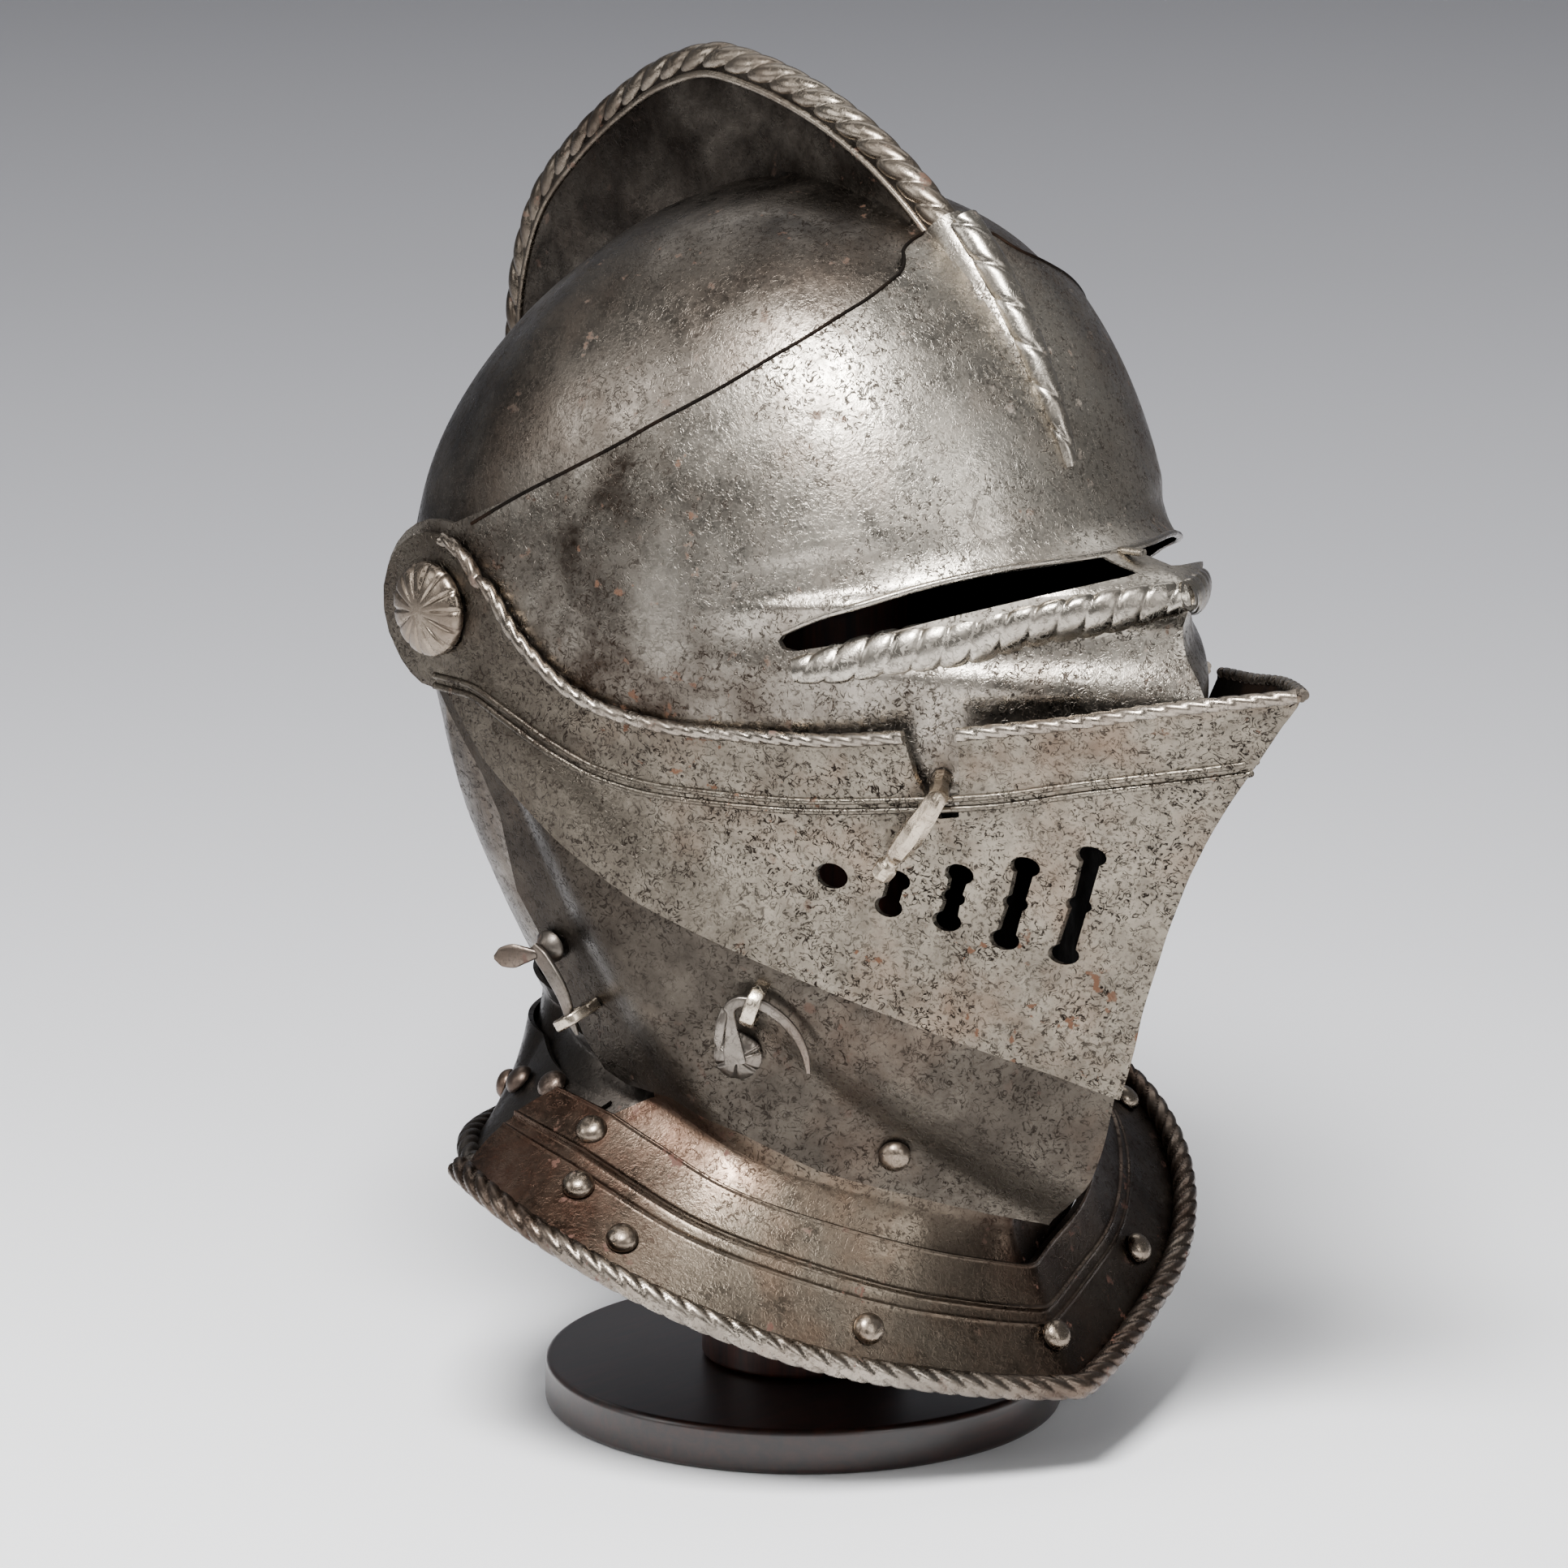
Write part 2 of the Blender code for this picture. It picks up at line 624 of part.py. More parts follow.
RIVET_PROFILE = (
    (0, 0), (0.93 * RIVET_RADIUS, 0), (RIVET_RADIUS, 0.12 * RIVET_RISE),
    (0.78 * RIVET_RADIUS, 0.68 * RIVET_RISE), (0.4 * RIVET_RADIUS, 0.94 * RIVET_RISE),
    (0, RIVET_RISE),
)


# Temple bosses over the pivots
for side, label in ((-1, "right"), (1, "left")):
    out = Vector((side, 0, 0))
    seat = Vector((side * (UPPER_BEVOR.half_width + 1.7 * FIT), AXIS.y, AXIS.z))
    turned("temple_boss_" + label, seat, out,
           ((0, 0), (BOSS_RADIUS, 0), (BOSS_RADIUS, 0.2 * BOSS_RISE),
            (BOSS_RADIUS * 0.86, 0.53 * BOSS_RISE), (BOSS_RADIUS * 0.45, 0.87 * BOSS_RISE),
            (0, BOSS_RISE)),
           20, STEEL)

# Rivets through the collar: part of the collar, turn from the front, drop
COLLAR_RIVETS = (
    ("front", 84, 0.42), ("front", 76, 0.72), ("front", 64, 0.83),
    ("front", 30, 0.80), ("front", 0, 0.72), ("rear", 104, 0.36), ("rear", 118, 0.55),
    ("rear", 140, 0.80),
)
for part, turn, drop in COLLAR_RIVETS:
    neck = UNDER_BEVOR if part == "front" else OVER_SKULL
    outs = FRONT_PLATE_OUT if part == "front" else REAR_PLATE_OUT
    places = ((-1, "right"), (1, "left")) if turn else ((1, "middle"),)
    for side, label in places:
        use = side * turn if part == "front" else (turn if side > 0 else 360 - turn)
        normal = collar_normal(neck, use, drop, outs)
        seat = collar_point(neck, use, drop, outs) + normal * (SHEET + 2 * FIT)
        turned("%s_rivet_%s_%d" % (part, label, turn), seat, normal,
               RIVET_PROFILE, 8, STEEL)

# Rivets that join the lower bevor to the front of the collar
for side, label in ((-1, "right"), (1, "left")):
    seat, normal = surface_point(LOWER_BEVOR, PIVOT_FORWARD + 107.3 * UNIT,
                                 PIVOT_HEIGHT - 138.4 * UNIT, 4 * FIT, side)
    turned("chin_rivet_" + label, seat, normal,
           RIVET_PROFILE, 8, STEEL)


# Bars: swept round sections along a path, for the peg and the latches
def bar(name, path, radii, segments, surface, origin, flat=None, thin=1.0):
    """Closed bar along a path. thin squashes it along the flat direction."""
    vertices = []
    rings = []
    for index, point in enumerate(path):
        before = path[max(0, index - 1)]
        after = path[min(len(path) - 1, index + 1)]
        ahead = (after - before).normalized()
        up = flat if flat is not None else Vector((0, 0, 1))
        side = ahead.cross(up).normalized()
        up = side.cross(ahead).normalized()
        ring = []
        for step in range(segments):
            a = 2 * math.pi * (step + 0.5) / segments
            ring.append(len(vertices))
            vertices.append(point + side * radii[index] * math.cos(a)
                            + up * radii[index] * thin * math.sin(a))
        rings.append(ring)
    faces = [tuple(rings[0]), tuple(reversed(rings[-1]))]
    for one, two in zip(rings, rings[1:]):
        for step in range(segments):
            after = (step + 1) % segments
            faces.append((one[step], one[after], two[after], two[step]))
    return add_object(name, vertices, faces, surface, origin)


# Lifting peg: stem in the notch, then a tapered bar down and back to a knob
seat, normal = surface_point(VISOR, PIVOT_FORWARD + 133.6 * UNIT, PIVOT_HEIGHT - 32 * UNIT,
                             2 * FIT)
knob = seat + normal * 5.5 * PEG_RADIUS + Vector((0, 17 * UNIT, -19 * UNIT))
elbow = seat + normal * 4.17 * PEG_RADIUS
arm = knob - elbow
bar("lifting_peg",
    [seat, seat + normal * 2 * PEG_RADIUS, elbow,
     elbow + arm * 0.35 + normal * 0.67 * PEG_RADIUS, elbow + arm * 0.75, knob,
     knob + arm.normalized() * 1.33 * PEG_RADIUS],
    [PEG_RADIUS * share for share in (1.0, 0.93, 1.0, 0.93, 1.1, 1.4, 0.73)], 8, STEEL,
    AXIS, Vector((0, 1, 0)))

# Latches: each is a flat hook that turns on a stud and passes over a staple
def tangent_frame(normal, towards):
    """Two directions in a surface, the first as near as can be to towards."""
    first = (towards - normal * towards.dot(normal)).normalized()
    return first, normal.cross(first)


# Angle from the staple, share of the reach to it, share of the hook's thickness
HOOK_SWEEP = (
    (26, 0.0, 1.0), (26, 0.5, 0.95), (24, 0.84, 0.90), (14, 0.97, 0.90),
    (0, 1.0, 0.90), (-16, 1.0, 0.85), (-32, 1.01, 0.80), (-48, 1.03, 0.70),
    (-62, 1.05, 0.55), (-76, 1.08, 0.40),
)
HOOK_GROW = 0.001        # how far the hook leans out on its way to the staple


def latch(name, form, stud, eye, hook_radius, stud_radius, layer_lift):
    """Stud, hook and staple on one plate. stud and eye are side-view places."""
    stud_seat, normal = surface_point(form, PIVOT_FORWARD + stud[0] * UNIT,
                                      PIVOT_HEIGHT + stud[1] * UNIT)
    eye_seat, eye_normal = surface_point(form, PIVOT_FORWARD + eye[0] * UNIT,
                                         PIVOT_HEIGHT + eye[1] * UNIT)
    first, second = tangent_frame(normal, eye_seat - stud_seat)
    reach = (eye_seat - stud_seat).dot(first)
    drop = (eye_seat - stud_seat).dot(normal)
    stud_top = layer_lift - 0.5 * hook_radius - FIT
    turned(name + "_stud", stud_seat, normal,
           ((0, 2 * FIT), (stud_radius * 0.8, 2 * FIT), (stud_radius, 0.3 * stud_top),
            (stud_radius, 0.5 * stud_top), (stud_radius * 0.62, 0.88 * stud_top),
            (stud_radius * 0.4, stud_top), (0, stud_top)),
           12, DARK_STEEL)
    path = []
    radii = []
    for degrees, share, scale in HOOK_SWEEP:
        a = math.radians(degrees)
        path.append(stud_seat + normal * (layer_lift + HOOK_GROW * share)
                    + (first * math.cos(a) + second * math.sin(a)) * reach * share)
        radii.append(hook_radius * scale)
    bar(name + "_hook", path, radii, 8, DARK_STEEL, stud_seat, normal, 0.5)
    along, across = tangent_frame(eye_normal, second)
    rise = layer_lift + HOOK_GROW - drop
    half = hook_radius * 1.25 + 1.83 * STAPLE_RADIUS
    top = eye_seat + eye_normal * (rise + hook_radius * 0.5 + 1.83 * STAPLE_RADIUS)
    low = eye_seat + eye_normal * 1.6 * FIT
    bar(name + "_staple",
        [low + across * half, low + across * half + (top - low) * 0.75, top + across * half * 0.55,
         top - across * half * 0.55, low - across * half + (top - low) * 0.75,
         low - across * half],
        [STAPLE_RADIUS] * 6, 6, DARK_STEEL, AXIS, along)


# Latch places on the lower bevor as forward and up from the temple axis, in
# units: stud, staple, then hook radius, stud radius, hook's height off the plate
latch("bevor_latch", LOWER_BEVOR, (80, -111), (87.5, -94.5), 0.0022, 0.0062, 0.0068)
latch("neck_latch", LOWER_BEVOR, (28, -88), (37, -104), 0.0018, 0.0045, 0.0062)

# Stand: a plain disc and a post that fills the crown from inside
turned("stand_disc", Vector((0, 0, 0)), Vector((0, 0, 1)),
       ((0, 0), (DISC_RADIUS - SOFT_EDGE, 0), (DISC_RADIUS, SOFT_EDGE),
        (DISC_RADIUS, DISC_HEIGHT - SOFT_EDGE), (DISC_RADIUS - SOFT_EDGE, DISC_HEIGHT),
        (0, DISC_HEIGHT)), 48, WOOD, Vector((0, 0, 0)))


def crown_height(forward, across):
    """Height of the skull's inner surface above a point of the table."""
    low, high = PIVOT_HEIGHT + 23 * UNIT, PIVOT_HEIGHT + 190 * UNIT
    for _ in range(30):
        middle = (low + high) / 2
        angle, distance = around(forward, middle)
        if SKULL.width_at(angle, distance, SHEET) > across:
            low = middle
        else:
            high = middle
    return low


def crown_room(radius):
    """Lowest height of the skull's inside above a circle on the table."""
    return min(crown_height(radius * math.cos(a), abs(radius * math.sin(a)))
               for a in [math.radians(d) for d in range(0, 360, 15)])


post_top = min(crown_room(POST_RADIUS) + SOFT_EDGE,
               crown_room(POST_RADIUS - SOFT_EDGE)) - 0.4 * FIT
turned("stand_post", Vector((0, 0, 0)), Vector((0, 0, 1)),
       ((0, DISC_HEIGHT + FIT), (POST_RADIUS, DISC_HEIGHT + FIT),
        (POST_RADIUS, post_top - SOFT_EDGE), (POST_RADIUS - SOFT_EDGE, post_top),
        (0, post_top)),
       32, WOOD, Vector((0, 0, 0)))
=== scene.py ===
import math

import bmesh
import bpy
import numpy as np
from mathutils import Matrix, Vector


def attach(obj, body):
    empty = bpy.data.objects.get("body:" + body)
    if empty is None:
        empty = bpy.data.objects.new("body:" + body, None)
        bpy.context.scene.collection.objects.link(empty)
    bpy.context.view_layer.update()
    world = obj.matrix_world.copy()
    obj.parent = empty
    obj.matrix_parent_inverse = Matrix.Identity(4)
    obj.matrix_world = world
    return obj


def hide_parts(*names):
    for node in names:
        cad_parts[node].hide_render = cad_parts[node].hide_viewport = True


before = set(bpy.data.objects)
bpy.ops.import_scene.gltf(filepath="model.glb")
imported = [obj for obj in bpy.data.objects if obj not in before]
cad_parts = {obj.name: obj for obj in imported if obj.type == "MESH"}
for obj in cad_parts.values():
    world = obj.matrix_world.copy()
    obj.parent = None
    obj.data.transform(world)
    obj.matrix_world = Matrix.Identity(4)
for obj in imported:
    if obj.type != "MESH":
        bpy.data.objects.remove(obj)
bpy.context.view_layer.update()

# Camera: a long lens from the wearer's right front, looking slightly down.
camera_data = bpy.data.cameras.new("photo_camera")
camera_data.sensor_width = 36
camera_data.lens = 186.335
CAMERA_TURN = math.radians(45)
CAMERA_DOWN = math.radians(13.3287)
camera = bpy.data.objects.new("photo_camera", camera_data)
bpy.context.scene.collection.objects.link(camera)
camera_back = Vector((-math.sin(CAMERA_TURN) * math.cos(CAMERA_DOWN),
                      -math.cos(CAMERA_TURN) * math.cos(CAMERA_DOWN), math.sin(CAMERA_DOWN)))
camera.location = (-1.49239668, -1.48492963, 0.66931986)
camera.rotation_euler = camera_back.to_track_quat("Z", "Y").to_euler()
bpy.context.scene.camera = camera

# Skull: the bowl and its tall comb are beaten out of one sheet of wrought
# iron, then planished. It is drawn, like every plate that turns, from the
# temple axis: angle above straight ahead, reach there, rise and spread.
MM = 0.001
TEMPLE = Vector((0, 0.040, 0.227))
SHEET = 1.4 * MM
SLIP = 0.8 * MM
SKULL_BODY = "skull_on_stand"
CHIN_BODY = "lower_bevor_and_collar"
SIDES = ((-1, "right"), (1, "left"))
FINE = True


def read_column(table, at, column):
    """Smooth curve through one column of a form table."""
    knots = np.array([row[0] for row in table], float)
    values = np.array([row[column] for row in table], float)
    run = np.diff(knots)
    slope = np.diff(values) / run
    tangent = np.zeros(len(knots))
    tangent[0], tangent[-1] = slope[0], slope[-1]
    same = slope[:-1] * slope[1:] > 0
    total = np.where(same, slope[:-1] + slope[1:], 1.0)
    tangent[1:-1] = np.where(same, 2 * slope[:-1] * slope[1:] / total, 0.0)
    at = np.clip(at, knots[0], knots[-1])
    step = np.clip(np.searchsorted(knots, at, "right") - 1, 0, len(run) - 1)
    t = (at - knots[step]) / run[step]
    return ((2 * t ** 3 - 3 * t ** 2 + 1) * values[step]
            + (t ** 3 - 2 * t ** 2 + t) * run[step] * tangent[step]
            + (3 * t ** 2 - 2 * t ** 3) * values[step + 1]
            + (t ** 3 - t ** 2) * run[step] * tangent[step + 1])


class Sheet:
    """Outer surface of a plate, as a half width at an angle and a distance. calm
    is a form table for the sides, where the form has features on the front only."""

    def __init__(self, form, layer, crest=None, comb_half=0.0, calm=None):
        self.form = form
        self.calm = calm or form
        self.half_width = 90 * MM + layer * (SHEET + SLIP)
        self.crest = crest
        self.comb_half = comb_half

    def bowl(self, angle, inset):
        return (read_column(self.form, angle, 1) * MM - inset,
                read_column(self.form, angle, 2), read_column(self.form, angle, 3))

    def top(self, angle, inset=0.0):
        reach = self.bowl(angle, inset)[0]
        if self.crest is None:
            return reach
        crest = read_column(self.crest, angle, 1) * MM - inset
        crest = np.where((angle >= 0) & (angle <= 180), crest, 0)
        return np.maximum(reach, crest)

    def width(self, angle, distance, inset=0.0):
        angle = (np.asarray(angle, float) + 90) % 360 - 90
        reach, rise, spread = self.bowl(angle, inset)
        bowl = np.clip(1 - (distance / reach) ** rise, 0, 1) ** (1 / spread)
        if self.calm is not self.form:
            # Features on the front fade in between 75 and 115 mm from the temple
            far, rise, spread = (read_column(self.calm, angle, column) for column in (1, 2, 3))
            calm = np.clip(1 - (distance / (far * MM - inset)) ** rise, 0, 1) ** (1 / spread)
            share = np.clip((distance - 75 * MM) / (40 * MM), 0, 1)
            share = share ** 2 * (3 - 2 * share)
            bowl = bowl * share + calm * (1 - share)
        bowl = (self.half_width - inset) * bowl
        if self.crest is None:
            return bowl
        top = self.top(angle, inset)
        depth = np.clip(top - distance, 0, None)
        half = self.comb_half - inset
        comb = np.sqrt(np.clip(half ** 2 - np.clip(half - depth, 0, None) ** 2, 0, None))
        comb = comb * np.clip((top - reach) / MM, 0, 1)
        return (bowl ** 3 + comb ** 3) ** (1 / 3)

    def at(self, forward, height, inset=0.0):
        """Half width at a side-view point given in millimetres."""
        ahead = np.asarray(forward, float) * MM + TEMPLE.y
        up = np.asarray(height, float) * MM - TEMPLE.z
        return self.width(np.degrees(np.arctan2(up, ahead)), np.hypot(ahead, up), inset)

    def spot(self, forward, height, side=-1, lift=0.0):
        """Point on the outside, lifted along the outward direction."""
        def raw(f, z):
            return Vector((side * float(self.at(f, z)), -f * MM, z * MM))
        base = raw(forward, height)
        normal = (raw(forward + 2, height) - base).cross(raw(forward, height + 2) - base)
        normal.normalize()
        if normal.x * side < 0:
            normal = -normal
        return base + normal * lift, normal


def new_object(name, vertices, faces, smooth=35):
    """Mesh object, smooth except at edges sharper than an angle."""
    mesh = bpy.data.meshes.new(name)
    mesh.from_pydata([tuple(v) for v in vertices], [], faces)
    mesh.validate()
    work = bmesh.new()
    work.from_mesh(mesh)
    bmesh.ops.remove_doubles(work, verts=work.verts, dist=1e-6)
    bmesh.ops.recalc_face_normals(work, faces=work.faces)
    work.to_mesh(mesh)
    work.free()
    mesh.shade_smooth()
    mesh.set_sharp_from_angle(angle=math.radians(smooth))
    thing = bpy.data.objects.new(name, mesh)
    bpy.context.scene.collection.objects.link(thing)
    return thing


def travel(points):
    """Length of the way from the first point to each point."""
    steps = np.linalg.norm(np.diff(points, axis=0), axis=1)
    return np.concatenate([[0], np.cumsum(steps)])


def tube_faces(count, around):
    """Faces of a row of rings, closed at both ends."""
    faces = [tuple(range(around)), tuple(range(count * around - 1, (count - 1) * around - 1, -1))]
    for a in range(0, (count - 1) * around, around):
        b = a + around
        faces += [(a + j, a + (j + 1) % around, b + (j + 1) % around, b + j)
                  for j in range(around)]
    return faces


def lens(name, sheet, angles, inset, rows, comb_rows=0):
    """Closed body that a sheet's surface bounds on both sides."""
    angles = np.asarray(angles, float)
    reach, rise, _ = sheet.bowl(angles, inset)
    last = np.arcsin(0.985 ** (rise / 2)) if comb_rows else np.full(len(angles), math.pi / 2)
    steps = np.arange(1, rows + 1) / rows
    rings = reach[:, None] * np.sin(last[:, None] * steps[None, :]) ** (2 / rise[:, None])
    if comb_rows:
        top = sheet.top(angles, inset)
        quarter = np.linspace(0, math.pi / 2, comb_rows + 1)[1:]
        share = 0.5 * np.sin(quarter) + 0.5 * (1 - np.cos(quarter))
        extra = rings[:, -1:] + (top[:, None] - rings[:, -1:]) * share[None, :]
        extra[:, -1] = top
        rings = np.concatenate([rings, extra], axis=1)
    grid_angle = np.repeat(angles[:, None], rings.shape[1], axis=1)
    width = sheet.width(grid_angle, rings, inset)
    width[:, -1] = 0
    turn = np.radians(grid_angle)
    y = TEMPLE.y - rings * np.cos(turn)
    z = TEMPLE.z + rings * np.sin(turn)
    count, deep = rings.shape
    right = np.stack([-width, y, z], -1).reshape(-1, 3)
    left = np.stack([width, y, z], -1).reshape(-1, 3)
    middle = np.array([[-(sheet.half_width - inset), TEMPLE.y, TEMPLE.z],
                       [sheet.half_width - inset, TEMPLE.y, TEMPLE.z]])
    vertices = np.concatenate([right, left, middle])
    faces = []
    for side in (0, 1):
        base = side * count * deep
        hub = 2 * count * deep + side
        for i in range(count):
            j = (i + 1) % count
            a, b = base + i * deep, base + j * deep
            ring = [(hub, a, b)] + [(a + k, a + k + 1, b + k + 1, b + k)
                                    for k in range(deep - 1)]
            faces += ring if side == 0 else [tuple(reversed(f)) for f in ring]
    return new_object(name, vertices, faces)


def spans(*parts):
    """Angles around the temple axis from start, end and step."""
    angles = []
    for start, end, step in parts:
        angles += list(np.arange(start, end - 1e-6, step if FINE else step * 2.5))
    return angles


def block(outline, low=-130, high=130):
    """Vertices and faces of a side-view outline drawn from right to left."""
    count = len(outline)
    vertices = [(x * MM, -f * MM, z * MM) for x in (low, high) for f, z in outline]
    faces = [tuple(range(count)), tuple(range(2 * count - 1, count - 1, -1))]
    faces += [(i, (i + 1) % count, count + (i + 1) % count, count + i) for i in range(count)]
    return vertices, faces


def blocks(name, parts):
    """One object from several blocks."""
    vertices, faces = [], []
    for part_vertices, part_faces in parts:
        start = len(vertices)
        vertices += part_vertices
        faces += [tuple(start + i for i in face) for face in part_faces]
    return new_object(name, vertices, faces)


def carve(body, *steps):
    """Apply cuts in turn, then drop the cutters."""
    for tool, operation in steps:
        modifier = body.modifiers.new("cut", "BOOLEAN")
        modifier.operation = operation
        modifier.solver = "EXACT"
        modifier.object = tool
    graph = bpy.context.evaluated_depsgraph_get()
    mesh = bpy.data.meshes.new_from_object(body.evaluated_get(graph))
    body.modifiers.clear()
    body.data = mesh
    mesh.shade_smooth()
    mesh.set_sharp_from_angle(angle=math.radians(32))
    for tool, _ in steps:
        bpy.data.objects.remove(tool, do_unlink=True)
    return body


def round_end(distance, start, end, steps=15):
    """Side-view arc round the temple axis, in millimetres and degrees."""
    turns = np.radians(np.linspace(start, end, steps))
    return [(-40 + distance * math.cos(t), 227 + distance * math.sin(t)) for t in turns]


def linear(code):
    """Linear colour from an sRGB hex value."""
    parts = [int(code[i:i + 2], 16) / 255 for i in (1, 3, 5)]
    return (*[p / 12.92 if p <= 0.04045 else ((p + 0.055) / 1.055) ** 2.4 for p in parts], 1.0)


def add_node(tree, kind, settings=None, **links):
    """Add one node; links name its inputs and give a socket or a value."""
    node = tree.nodes.new(kind)
    for key, value in (settings or {}).items():
        setattr(node, key, value)
    for key, value in links.items():
        name = key.replace("_", " ")
        socket = node.inputs[int(key[1:])] if key[1:].isdigit() else node.inputs[name]
        if isinstance(value, bpy.types.NodeSocket):
            tree.links.new(value, socket)
        else:
            socket.default_value = value
    return node


def ramp(tree, source, stops):
    """Colour ramp through rows of place and grey value or colour."""
    node = add_node(tree, "ShaderNodeValToRGB", {}, Fac=source)
    while len(node.color_ramp.elements) < len(stops):
        node.color_ramp.elements.new(0.5)
    for element, (place, value) in zip(node.color_ramp.elements, stops):
        element.position = place
        element.color = (value, value, value, 1) if not isinstance(value, tuple) else value
    return node.outputs["Color"]


def wrought_iron(name, bright, dark, rust, shade_zones=(), pits=1.0, rusting=1.0,
                 rough=(0.24, 0.44)):
    """Old wrought iron, once polished bright: silver where it was rubbed, grey between, etched by
    short worm-like pits, with rust spots. Each shade zone is painted shade that darkens the iron
    along an axis: the axis, where it begins and ends in metres, a colour and its strength."""
    made = bpy.data.materials.new(name)
    made.use_nodes = True
    tree = made.node_tree
    shader = tree.nodes["Principled BSDF"]
    place = add_node(tree, "ShaderNodeTexCoord").outputs["Object"]

    def noise(size_mm, detail=4.0, roughness=0.55, distortion=0.0):
        return add_node(tree, "ShaderNodeTexNoise", {}, Vector=place, Scale=1000 / size_mm,
                        Detail=detail, Roughness=roughness,
                        Distortion=distortion).outputs["Fac"]

    def mix(kind, a, b, factor):
        return add_node(tree, "ShaderNodeMix", {"data_type": "RGBA", "blend_type": kind},
                        i0=factor, i6=a, i7=b).outputs[2]

    def combine(operation, a, b):
        return add_node(tree, "ShaderNodeMath", {"operation": operation, "use_clamp": True},
                        i0=a, i1=b).outputs[0]

    wear = ramp(tree, noise(45, 5, 0.55), [(0.30, 0.0), (0.68, 1.0)])
    patch = ramp(tree, noise(10, 6, 0.7), [(0.36, 0.0), (0.62, 1.0)])
    # Worm-like pits 2 to 3 mm long: broken contour lines of a twisted noise
    worms = ramp(tree, noise(3.0, 2.0, 0.5, 1.6),
                 [(0.450, 0.0), (0.486, 1.0), (0.514, 1.0), (0.550, 0.0)])
    breaks = ramp(tree, noise(2.4, 2.0, 0.6), [(0.44, 0.0), (0.51, 1.0)])
    pit_zone = ramp(tree, noise(24, 4, 0.65), [(0.34, 0.40), (0.56, 1.0)])
    pitted = combine("MULTIPLY", combine("MULTIPLY", worms, breaks), pit_zone)
    grain = noise(1.3, 3.0, 0.65, 0.4)
    flecks = combine("MULTIPLY", ramp(tree, grain, [(0.54, 0.0), (0.62, 1.0)]), pit_zone)
    spots = ramp(tree, noise(6, 5, 0.62), [(0.635, 0.0), (0.675, 1.0)])
    spot_zone = ramp(tree, noise(70, 3, 0.5), [(0.44, 0.0), (0.60, 1.0)])
    rust_spots = combine("MULTIPLY", combine("MULTIPLY", spots, spot_zone), 0.9 * rusting)
    haze = ramp(tree, noise(33, 4, 0.6), [(0.50, 0.0), (0.72, 1.0)])

    worn = combine("ADD", combine("MULTIPLY", wear, 0.5), 0.45)
    metal = mix("MIX", linear(dark), linear(bright), worn)
    metal = mix("MIX", linear(dark), metal, combine("ADD", combine("MULTIPLY", patch, 0.45), 0.6))
    metal = mix("MIX", metal, linear("#6B4A34"), combine("MULTIPLY", haze, 0.26 * rusting))
    metal = mix("MIX", metal, linear("#2A231E"), combine("MULTIPLY", flecks, 0.55 * pits))
    metal = mix("MIX", metal, linear("#1D1815"), combine("MULTIPLY", pitted, 0.90 * pits))
    split = add_node(tree, "ShaderNodeSeparateXYZ", {}, Vector=place)
    ragged = add_node(tree, "ShaderNodeMapRange", {}, Value=noise(24, 5, 0.65, 0.3),
                      From_Min=0.3, From_Max=0.7, To_Min=0.55, To_Max=1.2)
    # Painted shade: each zone darkens the colour towards one end of an axis.
    for axis, begin, end, tint, strength in shade_zones:
        shade = add_node(tree, "ShaderNodeMapRange", {"interpolation_type": "SMOOTHSTEP"},
                         Value=split.outputs[axis], From_Min=begin, From_Max=end,
                         To_Min=0.0, To_Max=strength)
        metal = mix("MIX", metal, linear(tint),
                    combine("MULTIPLY", shade.outputs["Result"], ragged.outputs["Result"]))
    colour = mix("MIX", metal, linear(rust), rust_spots)
    tree.links.new(colour, shader.inputs["Base Color"])
    metallic = add_node(tree, "ShaderNodeMapRange", {}, Value=rust_spots, To_Min=1.0,
                        To_Max=0.25)
    tree.links.new(metallic.outputs["Result"], shader.inputs["Metallic"])
    gloss = mix("MIX", (rough[1],) * 3 + (1,), (rough[0],) * 3 + (1,), patch)
    gloss = mix("MIX", gloss, (0.7, 0.7, 0.7, 1),
                combine("MAXIMUM", rust_spots, combine("MULTIPLY", pitted, 0.8)))
    tree.links.new(gloss, shader.inputs["Roughness"])
    height = mix("MIX", grain, (0, 0, 0, 1), combine("MULTIPLY", pitted, pits))
    fine = add_node(tree, "ShaderNodeBump", {}, Height=height, Strength=0.7 * pits,
                    Distance=0.2 * MM)
    dents = add_node(tree, "ShaderNodeBump", {}, Height=noise(26, 2, 0.5), Strength=0.3,
                     Distance=1.0 * MM, Normal=fine.outputs["Normal"])
    tree.links.new(dents.outputs["Normal"], shader.inputs["Normal"])
    return made


SKULL_FORM = (
    (-90, 188, 1.6, 1.0), (-75, 250, 1.75, 1.0), (-55, 225, 1.8, 1.1),
    (-35, 185, 1.9, 1.3), (0, 141, 2.0, 1.7), (15, 140.5, 2.1, 2.0),
    (30, 138, 2.2, 2.2), (45, 133, 2.2, 2.2), (60, 122, 2.2, 2.2),
    (79, 106, 2.2, 2.1), (95, 90, 2.1, 2.0), (114, 77, 2.0, 2.0),
    (130, 69, 2.0, 2.0), (150, 61, 2.0, 2.0), (180, 56, 2.0, 2.0),
    (200, 56, 2.0, 2.0), (215, 58, 2.0, 2.0), (230, 64, 2.0, 2.0),
    (242, 75, 2.0, 2.0), (250, 88, 2.0, 2.0), (255.5, 104, 2.0, 1.8),
    (260, 135, 1.8, 1.4), (270, 188, 1.6, 1.0),
)
